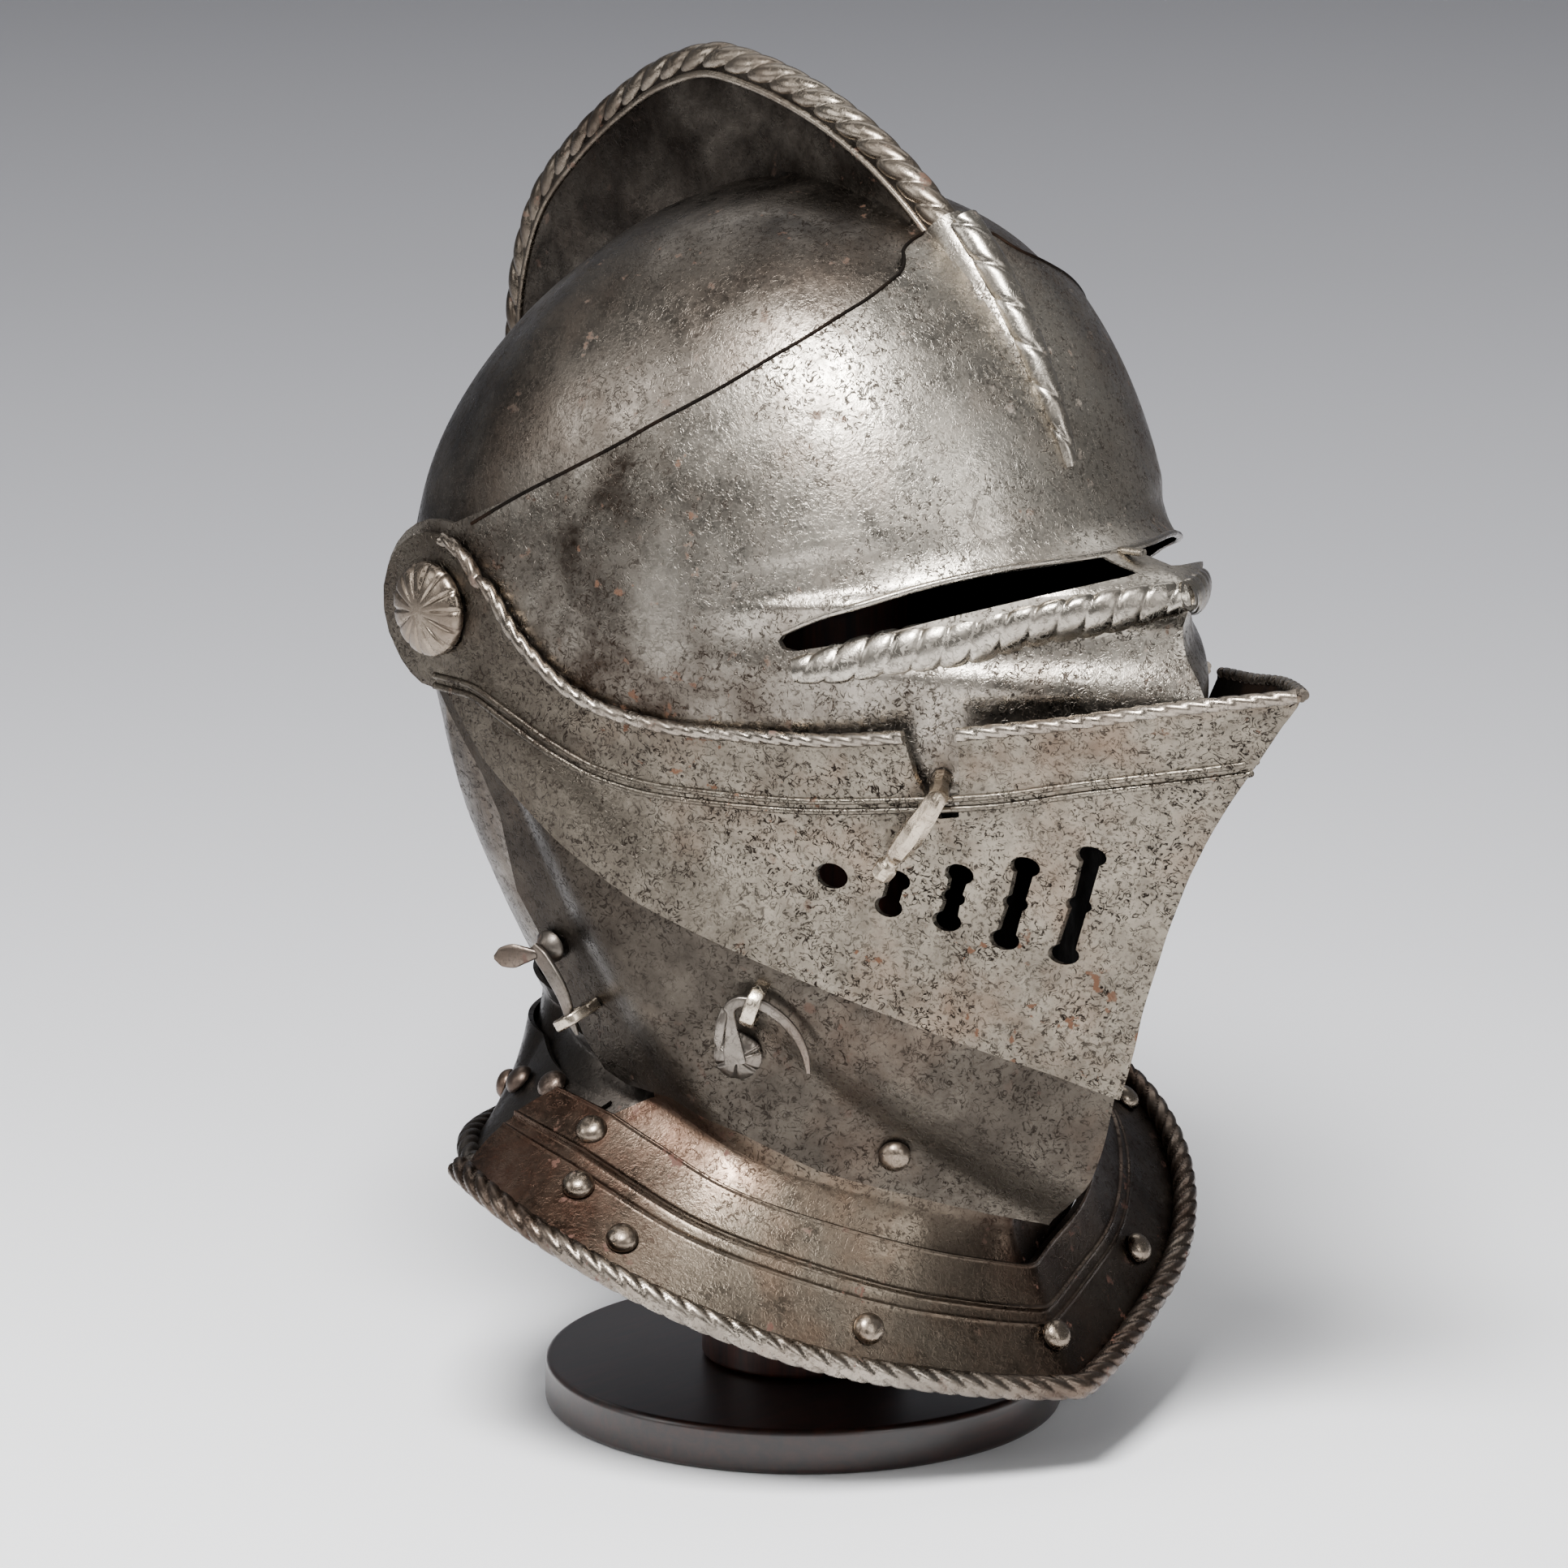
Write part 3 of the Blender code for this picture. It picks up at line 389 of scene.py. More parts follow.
# The sheet's comb ends just inside its roped crest
COMB_CREST = (
    (0, 115), (12, 125), (18, 135), (24, 138), (85, 138), (94, 133), (102, 126),
    (112, 118), (122, 111), (131, 102), (141, 91), (150, 81), (160, 71),
    (172, 60), (180, 54),
)
SKULL_OUTLINE = [
    (108, 272), (72, 262), (42, 247), (26, 232), (20, 212), (17, 190), (13, 160),
    (9, 135), (8, 107), (-60, 111), (-130, 111), (-200, 250), (-40, 400),
    (120, 400), (150, 300),
]
ROPE_RADIUS = 4.3
skull_sheet = Sheet(SKULL_FORM, 0, COMB_CREST, 3.6 * MM)
BACK_SHADE = ("Y", -0.04, 0.07, "#1B1714", 0.88)
FAR_SHADE = ("X", 0.0, 0.05, "#33221A", 0.7)
# Painted shade on the skull: darker towards the back, from 0.300 m up over the comb's sides, and
# on the far side.
skull_iron = wrought_iron("planished_iron_skull", "#9C9388", "#3A322A", "#462C1C",
                          (BACK_SHADE, ("Z", 0.300, 0.338, "#1C1713", 0.96), FAR_SHADE), 0.8, 0.8)
inside_iron = wrought_iron("black_iron_inside", "#1E1A17", "#110F0D", "#24170F", (), 0.3, 0.5,
                           (0.6, 0.8))


def blacken_inside(piece, middle):
    """Forge-black finish on the faces that look back at a point inside."""
    piece.data.materials.append(inside_iron)
    for face in piece.data.polygons:
        if face.normal.dot(face.center - middle) < 0:
            face.material_index = 1


def plate(name, sheet, outline, parts, rows, comb_rows, *cuts):
    """Hollow sheet cut to its side-view outline, then by any further cuts."""
    angles = spans(*parts)
    rows = rows if FINE else rows // 2
    body = lens(name, sheet, angles, 0.0, rows, comb_rows)
    hollow = lens(name + "_hollow", sheet, angles, SHEET, rows, comb_rows)
    edge = blocks(name + "_edge", [block(outline)])
    return carve(body, (hollow, "DIFFERENCE"), (edge, "INTERSECT"), *cuts)


def finish_piece(piece, material, slot, body, *nodes):
    """Give a piece its material, its body and the CAD nodes it replaces. slot is not used."""
    piece.data.materials.clear()
    piece.data.materials.append(material)
    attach(piece, body)
    if nodes:
        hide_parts(*nodes)


def finish_plate(piece, material, body, node, middle):
    """Finish a steel plate that is black where it looks back at a middle point."""
    finish_piece(piece, material, "steel", body, node)
    blacken_inside(piece, middle)


skull = plate("skull_plate", skull_sheet, SKULL_OUTLINE,
              ((-90, 14, 26), (14, 46, 2), (46, 130, 1.2), (130, 214, 1.6), (214, 270, 1.4)),
              56, 14)
finish_plate(skull, skull_iron, SKULL_BODY, "skull", TEMPLE)


# Roped crest: the comb's turned edge is chiselled into a rope, its strands
# slanting forward. A thin fillet runs along each side of its foot.
def rope(name, path, radii, pitch, depth, up, lay, around=28, per_strand=14, flat=1.0,
         crease=4.0, under=1.0):
    """Rope along points. lay is the strands passed in one turn, flat its height
    against its width, crease how narrow its grooves are, and under how many
    metres its underside goes below the path at most."""
    path = np.array([tuple(p) for p in path], float)
    run = travel(path)
    count = max(8, int(run[-1] / pitch * (per_strand if FINE else 6)))
    at = np.linspace(0, run[-1], count)
    points = np.stack([np.interp(at, run, path[:, i]) for i in range(3)], -1)
    size = np.interp(at / run[-1], np.linspace(0, 1, len(radii)), radii)
    up = np.array([tuple(u) for u in up], float)
    up = up if len(up) > 1 else np.repeat(up, 2, axis=0)
    lift = np.stack([np.interp(at / run[-1], np.linspace(0, 1, len(up)), up[:, i])
                     for i in range(3)], -1)
    ahead = np.gradient(points, axis=0)
    ahead /= np.linalg.norm(ahead, axis=1)[:, None]
    side = np.cross(ahead, lift)
    side /= np.linalg.norm(side, axis=1)[:, None]
    lift = np.cross(side, ahead)
    turn = np.linspace(0, 2 * math.pi, around, endpoint=False)
    phase = at[:, None] / pitch + lay * turn[None, :] / (2 * math.pi)
    groove = np.abs(2 * (phase % 1) - 1) ** crease
    reach = size[:, None] * (1 - depth * groove)
    rise = np.maximum(flat * reach * np.sin(turn), -under)
    vertices = (points[:, None, :] + side[:, None, :] * (reach * np.cos(turn))[..., None]
                + lift[:, None, :] * rise[..., None]).reshape(-1, 3)
    return new_object(name, vertices, tube_faces(count, around), 60)


def middle_line(crest, start, end, sink, steps):
    """Points in the middle plane, sunk below a crest table's line."""
    angles = np.linspace(start, end, steps)
    reach = read_column(crest, angles, 1) - sink
    turn = np.radians(angles)
    return [(0, TEMPLE.y - r * MM * math.cos(t), TEMPLE.z + r * MM * math.sin(t))
            for r, t in zip(reach, turn)]


def bead(name, path, radius, up, around=10):
    """Plain round bead along a path."""
    return rope(name, path, [radius], 6 * MM, 0.0, up, lay=0, around=around, per_strand=4)


ROPE_CREST = tuple((angle, reach + 1.9) for angle, reach in COMB_CREST)
crest_path = middle_line(ROPE_CREST, 46.5, 178, ROPE_RADIUS, 200)
# Painted shade: the rope darkens towards the back.
crest_iron = wrought_iron("rubbed_iron_rope", "#A49A8C", "#473C33", "#4F3325",
                          (("Y", -0.02, 0.10, "#2A211B", 0.8),), 0.4, 0.9, (0.22, 0.4))
comb_rope = rope("comb_rope", crest_path, [ROPE_RADIUS * MM] * 10 + [3.4 * MM], 8.6 * MM, 0.20,
                 [(1, 0, 0)], lay=-3, around=48, per_strand=18, crease=2.6)
finish_piece(comb_rope, crest_iron, "steel", SKULL_BODY)
for side, label in SIDES:
    fillet_path = [(side * 3.5 * MM, p[1], p[2])
                   for p in middle_line(ROPE_CREST, 46.5, 174, 2 * ROPE_RADIUS - 0.4, 160)]
    fillet = bead("comb_fillet_" + label, fillet_path, 1.1 * MM, [(1, 0, 0)])
    finish_piece(fillet, crest_iron, "steel", SKULL_BODY)

# Visor: brow, sheath over the comb and nose ridge, one beaten sheet with two
# sights cut through. A bold rope is worked under each sight.
VISOR_FORM = (
    (-90, 200, 2.4, 1.0), (-60, 196, 2.4, 1.0), (-38, 184.5, 2.2, 1.0),
    (-30, 183, 2.2, 1.0), (-14, 183, 2.2, 1.0), (-8, 184, 2.2, 1.0),
    (-4, 184, 2.2, 1.05), (-2, 181, 2.2, 1.1), (0, 176.5, 2.2, 1.1),
    (2, 175.5, 2.2, 1.1), (4, 177.5, 2.2, 1.15), (6, 176.5, 2.2, 1.25),
    (7, 170, 2.2, 1.35), (8, 160, 2.2, 1.5), (10, 150, 2.2, 1.8),
    (12, 145.5, 2.2, 2.0), (15, 143.2, 2.2, 2.2), (18, 142.7, 2.2, 2.2),
    (30, 140.2, 2.2, 2.2), (45, 135.2, 2.2, 2.2), (60, 124.2, 2.2, 2.2),
    (79, 108.2, 2.2, 2.1), (180, 100, 2.2, 2.1), (270, 200, 2.4, 1.0),
)
VISOR_CREST = ((0, 118), (12, 134), (17, 141.2), (24, 141.6), (80, 141.6), (100, 118))
VISOR_REAR = [(-29, 250.5), (-13, 260), (2, 268.3), (15, 276), (24, 282.2), (33, 288.2),
              (40, 293.5), (46, 299), (52, 305), (55.5, 310), (57.5, 314), (57.5, 317.5),
              (55.5, 320.5), (52.5, 323), (50, 326)]
VISOR_OUTLINE = round_end(23, 80, 250) + [
    (-20, 203), (40, 194), (90, 182), (150, 180), (230, 178), (230, 240),
    (140, 330), (72, 354), (57, 333)] + VISOR_REAR[:0:-1]
SIGHT_TOP = [(60.4, 229.6), (61.4, 231.2), (68.5, 235), (77.9, 239.2), (91.9, 245.2),
             (103.9, 248.7), (116.5, 250.4), (121.5, 250.6)]
SIGHT_LOW = [(124.6, 249.8), (126.0, 248.4), (125.4, 247.2), (109.9, 242.0), (94.1, 236.7),
             (76, 230.0), (64, 227.2), (61.4, 227.7)]
VISOR_CALM = tuple(row for row in VISOR_FORM if not -16 < row[0] < 18)
visor_sheet = Sheet(VISOR_FORM, 2, VISOR_CREST, 6.0 * MM, VISOR_CALM)
# The visor's bright colour, lighter than the other plates, is partly a painted highlight; its
# zones are painted shade, darker towards the temple, below the sights and on the far side.
visor_iron = wrought_iron("planished_iron_visor_painted_light", "#DBD3C5", "#4A4037", "#4E321F",
                          (("Y", -0.095, -0.02, "#251E19", 0.85),
                           ("Z", 0.240, 0.212, "#2C221B", 0.6), FAR_SHADE), 1.0, 1.0)
sights = blocks("sights", [block(SIGHT_TOP + SIGHT_LOW, *sorted((side * 6.2, side * 120)))
                           for side in (-1, 1)])
visor = plate("visor_plate", visor_sheet, VISOR_OUTLINE,
              ((-90, -36, 9), (-36, -6, 1.5), (-6, 20, 0.5), (20, 84, 1.2), (84, 270, 12)),
              56, 14, (sights, "DIFFERENCE"))
finish_plate(visor, visor_iron, "visor", "visor", TEMPLE)

# Ropes and lips worked on the visor: the ridge's rope runs down from the comb
# and thins out, a heavier one lies under each sight, and each sight has a lip.
# A thin black bead along the plate's rear edge is a painted shadow line, where the edge stands
# off the skull.
RIDGE_LINE = ((17, 143.2), (24, 142.5), (30, 142.0), (46.5, 141.6))
ridge_path = middle_line(RIDGE_LINE, 46.3, 17.5, 0.6, 90)
ridge_radii = [4.5, 4.6, 4.6, 4.5, 4.4, 4.3, 4.1, 3.9, 3.6, 3.2, 2.7, 1.8]
ridge_rope = rope("visor_ridge_rope", ridge_path, [r * MM for r in ridge_radii], 12 * MM, 0.17,
                  [Vector(p) - TEMPLE for p in ridge_path], lay=-2, around=48, per_strand=24,
                  crease=6.0, under=0.7 * MM)
visor_rope_iron = wrought_iron("rubbed_iron_visor_rope", "#C2BBAF", "#544B42", "#54352A",
                               (FAR_SHADE,), 0.45, 0.9, (0.2, 0.36))
finish_piece(ridge_rope, visor_rope_iron, "steel", "visor")


def surface_path(sheet, line, side, lift, steps=80):
    """Points and outward directions along a side-view line, lifted off a sheet."""
    line = np.array(line, float)
    run = travel(line)
    at = np.linspace(0, run[-1], steps)
    points, normals = [], []
    for a in at:
        point, normal = sheet.spot(float(np.interp(a, run, line[:, 0])),
                                   float(np.interp(a, run, line[:, 1])), side, lift * MM)
        points.append(point)
        normals.append(normal)
    return points, normals


def smooth_line(line, steps=60):
    """Rounded line through a few side-view points."""
    line = np.array(line, float)
    run = travel(line)
    at = np.linspace(0, run[-1], steps)
    table = np.column_stack([run, line])
    return np.column_stack([read_column(table, at, 1), read_column(table, at, 2)])


# Painted shadow line: a thin black bead along the visor's rear edge.
for side, label in SIDES:
    path, normals = surface_path(visor_sheet, smooth_line(VISOR_REAR), side, 0.0)
    edge = bead("visor_edge_shadow_" + label, path, 0.5 * MM, normals)
    finish_piece(edge, inside_iron, "steel", "visor")

UNDER_SIGHT = [(64.5, 222.4), (80, 226.4), (100.3, 231.4), (118, 236.8), (129.8, 240.2),
               (137.5, 242.6)]
for side, label in SIDES:
    path, normals = surface_path(visor_sheet, smooth_line(UNDER_SIGHT), side, -0.8)
    sight_rope = rope("sight_rope_" + label, path,
                      [r * MM for r in (3.4, 5.2, 6.2, 6.5, 6.6, 6.6, 6.4, 6.0, 5.2, 3.8)],
                      7.2 * MM, 0.17, normals, lay=2 * side, around=48, per_strand=20,
                      flat=0.62, crease=3.4)
    finish_piece(sight_rope, visor_rope_iron, "steel", "visor")
    lip_line = [(x, z + 0.6) for x, z in SIGHT_TOP[1:]]
    path, normals = surface_path(visor_sheet, smooth_line(lip_line), side, -0.45)
    lip = bead("sight_lip_" + label, path, 0.95 * MM, normals)
    finish_piece(lip, visor_rope_iron, "steel", "visor")

# Upper bevor: the pointed prow, two flat cheeks meeting in a keel, with its
# breaths sawn through and its upper edge finely roped.
UPPER_FORM = (
    (-90, 225, 2.4, 1.0), (-66, 222, 2.5, 1.0), (-55, 214, 2.6, 1.0),
    (-50, 208.5, 2.6, 1.0), (-45, 203.5, 2.5, 1.0), (-38, 197, 2.25, 1.0),
    (-34, 193, 2.2, 1.0), (-30, 189, 2.2, 1.0), (-26, 187.3, 2.2, 1.0),
    (-23, 186.6, 2.2, 1.0), (-19, 187.3, 2.2, 1.0), (-15, 190, 2.2, 1.0),
    (-11, 195, 2.2, 1.0), (-7, 202.5, 2.2, 1.0), (-4, 209, 2.2, 1.0),
    (-1, 216, 2.2, 1.0), (10, 218, 2.2, 1.0), (90, 200, 2.2, 1.0),
    (180, 200, 2.2, 1.0), (270, 225, 2.4, 1.0),
)
EDGE_REAR = [(-22.8, 236.6), (-9, 222.8), (5.7, 211.7), (19.7, 206.9), (39.5, 204.8),
             (70.1, 205.1), (92, 207.7)]
EDGE_FRONT = [(104.3, 209.2), (125.9, 213.1), (151.8, 218.8), (174.9, 222.5)]
UPPER_OUTLINE = round_end(20, 28, 279) + [
    (-22.8, 189.2), (1.2, 170.5), (22.6, 157), (42.1, 147.4), (59.6, 138.3),
    (75.7, 129.5), (90.7, 120.9), (104.8, 113), (114, 106.6), (130, 96),
    (230, 90), (230, 229), (174.9, 222.5), (151.8, 218.8), (125.9, 213.1),
    (104.3, 209.2), (98.3, 185.5), (94, 184.8), (91.5, 196), (92, 207.7),
    (70.1, 205.1), (39.5, 204.8), (19.7, 206.9), (5.7, 211.7), (-9, 222.8),
]
BREATHS = (
    (68.2, 167.6, 69.0, 166.2, 3.2), (82.0, 167.1, 79.2, 159.7, 1.7),
    (95.2, 169.4, 90.6, 156.2, 1.7), (108.7, 171.9, 101.1, 151.3, 1.7),
    (122.0, 175.2, 111.6, 147.3, 1.7),
)


def breath_outline(forward, height, end_forward, end_height, half):
    """Slot sawn between two drilled holes, with a third lobe in the middle."""
    run = math.hypot(end_forward - forward, end_height - height)
    if run < 2 * half:
        return [(forward + half * 1.1 * math.cos(a), height + half * 1.1 * math.sin(a))
                for a in np.linspace(0, 2 * math.pi, 24, endpoint=False)]
    along = ((end_forward - forward) / run, (end_height - height) / run)
    across = (-along[1], along[0])
    bulb = half * 1.7
    shape = []
    for sign, base in ((1, (end_forward, end_height)), (-1, (forward, height))):
        for a in np.radians(np.linspace(-140, 140, 15)):
            ahead, sideways = sign * bulb * math.cos(a), sign * bulb * math.sin(a)
            shape.append((base[0] + along[0] * ahead + across[0] * sideways,
                          base[1] + along[1] * ahead + across[1] * sideways))
        if run > 5 * half:
            for a in np.radians(np.linspace(-48, 48, 7)):
                sideways = sign * (half + (math.cos(a) - math.cos(math.radians(48))) * half * 1.3)
                ahead = -sign * math.sin(-a) * half * 1.3
                shape.append(((forward + end_forward) / 2 - along[0] * ahead
                              + across[0] * sideways,
                              (height + end_height) / 2 - along[1] * ahead
                              + across[1] * sideways))
    return shape


upper_sheet = Sheet(UPPER_FORM, 3)
# Painted shade: the bevor darkens towards the back and on the far side.
bevor_iron = wrought_iron("planished_iron_bevor", "#8E8679", "#332C26", "#53351F",
                          (("Y", -0.09, 0.02, "#2A241F", 0.75), FAR_SHADE), 1.1, 1.5)
breaths = blocks("breaths", [block(breath_outline(*breath), *sorted((side * 4, side * 120)))
                             for breath in BREATHS for side in (-1, 1)])
upper_bevor = plate("upper_bevor_plate", upper_sheet, UPPER_OUTLINE,
                    ((-90, -66, 4), (-66, 2, 0.8), (2, 30, 3), (30, 270, 12)), 64, 0,
                    (breaths, "DIFFERENCE"))
finish_plate(upper_bevor, bevor_iron, "upper_bevor", "upper_bevor", TEMPLE)

# Fine roped edge turned along the upper bevor's top, and the pair of lines
# cut below it, worked as two low beads with a groove between.
# Painted shade: the roped edge darkens towards the back.
edge_iron = wrought_iron("rubbed_iron_edge", "#B2A99C", "#514840", "#54352A",
                         (("Y", -0.06, 0.05, "#3A2F27", 0.6),), 0.4, 1.0, (0.2, 0.36))
EDGE_BEGIN = round_end(19, 28, 150)[::-1]
LINE_BELOW = [(-40, 208.5), (-28, 208.2), (-14, 203), (0, 196), (14, 190.6), (30, 188),
              (60, 187.2), (92, 189.5), (104, 190.8), (126, 195.5), (152, 200.5), (159, 202)]
for side, label in SIDES:
    for part, line in (("rear", EDGE_BEGIN[-7:] + EDGE_REAR), ("front", EDGE_FRONT)):
        path, normals = surface_path(upper_sheet, smooth_line(line, 90), side, 0.1, 120)
        edge = rope("bevor_edge_%s_%s" % (part, label), path, [1.9 * MM], 5.5 * MM, 0.3,
                    normals, lay=3, around=18, per_strand=12)
        finish_piece(edge, edge_iron, "steel", "upper_bevor")
    for step, drop in (("upper", 0.6), ("lower", -2.2)):
        path, normals = surface_path(upper_sheet,
                                     smooth_line([(f, z + drop) for f, z in LINE_BELOW], 90),
                                     side, 0.0, 120)
        line = bead("bevor_line_%s_%s" % (step, label), path, 0.95 * MM, normals, 8)
        finish_piece(line, bevor_iron, "steel", "upper_bevor")


# Lower bevor: the chin plate, beaten from one sheet that is darker and smoother
# than the plates above it. It turns on the temple axis inside the upper bevor.
LOWER_FORM = (
    (-90, 280, 1.8, 1.0), (-75, 285, 1.82, 1.0), (-66, 290, 1.84, 1.0),
    (-57, 228, 2.6, 1.0), (-50, 206, 2.6, 1.0), (-46, 206, 2.5, 1.0),
    (-43, 203, 2.4, 1.0), (-38, 195.2, 2.2, 1.0), (-34, 191, 2.2, 1.0),
    (-30, 187, 2.2, 1.0), (-26, 185, 2.2, 1.0), (-20, 184, 2.2, 1.0),
    (0, 182, 2.2, 1.2), (90, 150, 2.2, 2.0), (180, 150, 2.0, 2.0),
    (240, 220, 1.8, 1.2), (270, 280, 1.7, 1.0),
)
LOWER_OUTLINE = round_end(16, 60, 210) + [
    (-42, 200), (-30, 183), (-25, 172.5), (-22.8, 152), (-17.5, 142.2),
    (-7.7, 113), (-3, 105), (4, 102), (20, 101), (38.4, 94.5), (53.6, 84),
    (81.6, 70.4), (96, 65), (130, 60), (150, 100), (121, 118), (105, 126),
    (91, 134), (76, 143), (58, 153), (40, 166), (-8, 196),
]
lower_sheet = Sheet(LOWER_FORM, 1)
# Painted shade: the chin plate darkens towards the back and on the far side.
chin_iron = wrought_iron("planished_iron_chin", "#5C564E", "#26211D", "#462D1E",
                         (("Y", -0.08, 0.01, "#231E1A", 0.8), FAR_SHADE), 0.8, 0.6)
lower_bevor = plate("lower_bevor_plate", lower_sheet, LOWER_OUTLINE,
                    ((-90, -78, 2), (-78, -20, 0.9), (-20, 30, 4), (30, 270, 12)), 60, 0)
finish_plate(lower_bevor, chin_iron, CHIN_BODY, "lower_bevor", TEMPLE)


# Collar: two neck lames and two wide plates, raised from sheet and riveted.
# Each follows the bevor or skull at the neck and runs out to a roped rim.
NECK_MIDDLE = 4 * MM
NECK_DROP = 125 * MM
NECK_SLOPE_FRONT, NECK_SLOPE_REAR = 0.46, 0.2
CHIN_TUCK = 9 * MM
RIM_MIDDLE = 5.2 * MM
RIM_HALF_WIDTH = 102.5 * MM
RIM_FRONT, RIM_REAR = 77 * MM, 69 * MM
RIM_POINT = 10.5 * MM
RIM_DROP = 169.2 * MM
RIM_SLOPE = 0.328
RIM_RISE = 1.44
# Sheets that the front and rear plates stand out, at the neck and at the rim
FRONT_PLATE_OUT = (2.85, 4.3)
REAR_PLATE_OUT = (2.2, 1.6)


def ring_height(forward):
    """Height of the neck ring, which falls towards the front and the back."""
    slope = np.where(forward > NECK_MIDDLE, NECK_SLOPE_FRONT, NECK_SLOPE_REAR)
    return TEMPLE.z - NECK_DROP - slope * (forward - NECK_MIDDLE)


def neck_row(sheet, inset, turns, out, rise, tuck=0.0):
    """Points of the neck ring, following the inside or outside of a sheet.
    tuck draws the throat back under the chin."""
    across = np.sin(np.radians(turns))
    ahead = np.cos(np.radians(turns))
    reach = {}
    for sign in (1, -1):
        low, high = 0.03, 0.12
        for _ in range(24):
            forward = NECK_MIDDLE + sign * (low + high) / 2
            half = sheet.at(forward / MM, (ring_height(forward) + rise) / MM, inset)
            if half > 0.0005:
                low = (low + high) / 2
            else:
                high = (low + high) / 2
        reach[sign] = low
    front = ahead >= 0
    power = np.where(front, 2 / 2.1, 1.0)
    far = np.where(front, reach[1], reach[-1])
    forward = NECK_MIDDLE + np.sign(ahead) * far * np.abs(ahead) ** power
    height = ring_height(forward) + rise
    half = sheet.at(forward / MM, height / MM, inset)
    half = np.where(np.abs(across) < 1e-6, 0, half) * np.sign(across)
    forward = forward - tuck * np.exp(-(half / (17 * MM)) ** 2)
    return np.stack([half + across * out, -forward - ahead * out, height], -1)


def rim_row(turns, out):
    """Points of the rim, pointed in front and rising towards the shoulders."""
    across = np.sin(np.radians(turns))
    ahead = np.cos(np.radians(turns))
    width = (RIM_HALF_WIDTH + out) * np.abs(across)
    forward = RIM_MIDDLE + (np.where(ahead >= 0, RIM_FRONT, RIM_REAR) + out) * ahead
    point = RIM_POINT * np.clip(1 - width / (RIM_HALF_WIDTH / 2), 0, None) ** 1.6
    forward = forward + np.where(ahead > 0, point, 0)
    height = TEMPLE.z - RIM_DROP - RIM_SLOPE * forward + RIM_RISE * width ** 2
    return np.stack([width * np.sign(across), -forward, height], -1)


def collar_rows(front, turns, drops, outs):
    """Grid of points and outward directions. A drop of 0 is the neck ring and 1
    the rim, and outs are the sheets' thicknesses that it stands out there."""
    turns = np.array(turns, float)
    sheet, inset = (lower_sheet, 2 * SHEET + 1.8 * MM) if front else (skull_sheet, -0.81 * MM)
    columns = []
    for drop in drops:
        lean = 0.19 * max(0.0, drop)
        use = turns * (1 + lean) if front else 180 + (turns - 180) * (1 - lean)
        ring = neck_row(sheet, inset, use, outs[0] * SHEET, max(0.0, -drop) * 40 * MM,
                        CHIN_TUCK if front else 0.0)
        if drop > 0:
            rim = rim_row(use, outs[1] * SHEET)
            flat = drop ** 1.45
            ring = ring + (rim - ring) * np.array([flat, flat, drop])
        columns.append(ring)
    grid = np.stack(columns, 1)
    normal = np.cross(np.gradient(grid, axis=0), np.gradient(grid, axis=1))
    normal /= np.linalg.norm(normal, axis=2)[..., None]
    outward = np.stack([np.sin(np.radians(turns)), -np.cos(np.radians(turns)),
                        np.full(len(turns), 0.25)], -1)
    normal *= np.sign((normal * outward[:, None, :]).sum(2))[..., None]
    return grid, normal


def collar_band(name, front, turns, drops, outs, relief=None):
    """Closed curved band with the sheet's thickness and a relief on its face."""
    grid, normal = collar_rows(front, turns, drops, outs)
    lift = SHEET + (relief(np.array(drops)) if relief else np.zeros(len(drops)))
    outer = grid + normal * lift[None, :, None]
    loops = np.concatenate([outer, grid[:, ::-1]], axis=1)
    return new_object(name, loops.reshape(-1, 3), tube_faces(*loops.shape[:2]), 32)


def fan(start, end, step):
    return np.linspace(start, end, int(abs(end - start) / (step if FINE else 2 * step)) + 1)


def embossed(drops):
    """Sunken strip between two sharp ridges, as shares of the plate's drop."""
    ridge = (np.exp(-((drops - 0.55) / 0.012) ** 2) * 0.9
             + np.exp(-((drops - 0.645) / 0.010) ** 2) * 0.5
             + np.exp(-((drops - 0.272) / 0.010) ** 2) * 0.5)
    raised = 0.9 / (1 + np.exp((drops - 0.56) / 0.008))
    return (ridge + raised) * MM


# Painted shade: the collar's front plates darken towards the back, and towards the middle and the
# far side.
collar_iron = wrought_iron("planished_iron_collar", "#7A7063", "#30271F", "#4F3226",
                           (("Y", -0.055, -0.01, "#38251D", 0.9),
                            ("X", -0.045, 0.0, "#2C211B", 0.9)), 0.7, 1.3)
# Painted shade: the rear collar's iron is a darker copy of the collar's, darkened further towards
# the back.
rear_shaded_iron = wrought_iron("painted_shade_iron_collar_rear", "#6A645E", "#2A2623", "#3F281E",
                         (BACK_SHADE,), 0.5, 0.7, (0.28, 0.5))
rear_lame = collar_band("rear_neck_lame_plate", False, fan(80, 280, 2),
                        np.linspace(-0.14, 0.42, 18), (0.0, 0.0))
under_collar = Vector((0, -NECK_MIDDLE, 0))
finish_plate(rear_lame, rear_shaded_iron, SKULL_BODY, "rear_neck_lame", under_collar)
rear_plate = collar_band("rear_collar_band", False, fan(90, 270, 1.5),
                         np.linspace(0.24, 1.0, 24), REAR_PLATE_OUT)
finish_plate(rear_plate, rear_shaded_iron, SKULL_BODY, "rear_collar_plate", under_collar)
front_lame = collar_band("front_neck_lame_plate", True, fan(-86, 86, 1.5),
                         np.linspace(-0.16, 0.34, 18), (0.0, 2.1))
finish_plate(front_lame, collar_iron, CHIN_BODY, "front_neck_lame", under_collar)
front_plate = collar_band("front_collar_band", True, fan(-94, 94, 1.0),
                          np.concatenate([np.linspace(0.26, 0.30, 9), np.linspace(0.31, 0.50, 10),
                                          np.linspace(0.51, 0.68, 36),
                                          np.linspace(0.70, 1.0, 12)]),
                          FRONT_PLATE_OUT, embossed)
finish_plate(front_plate, collar_iron, CHIN_BODY, "front_collar_plate", under_collar)
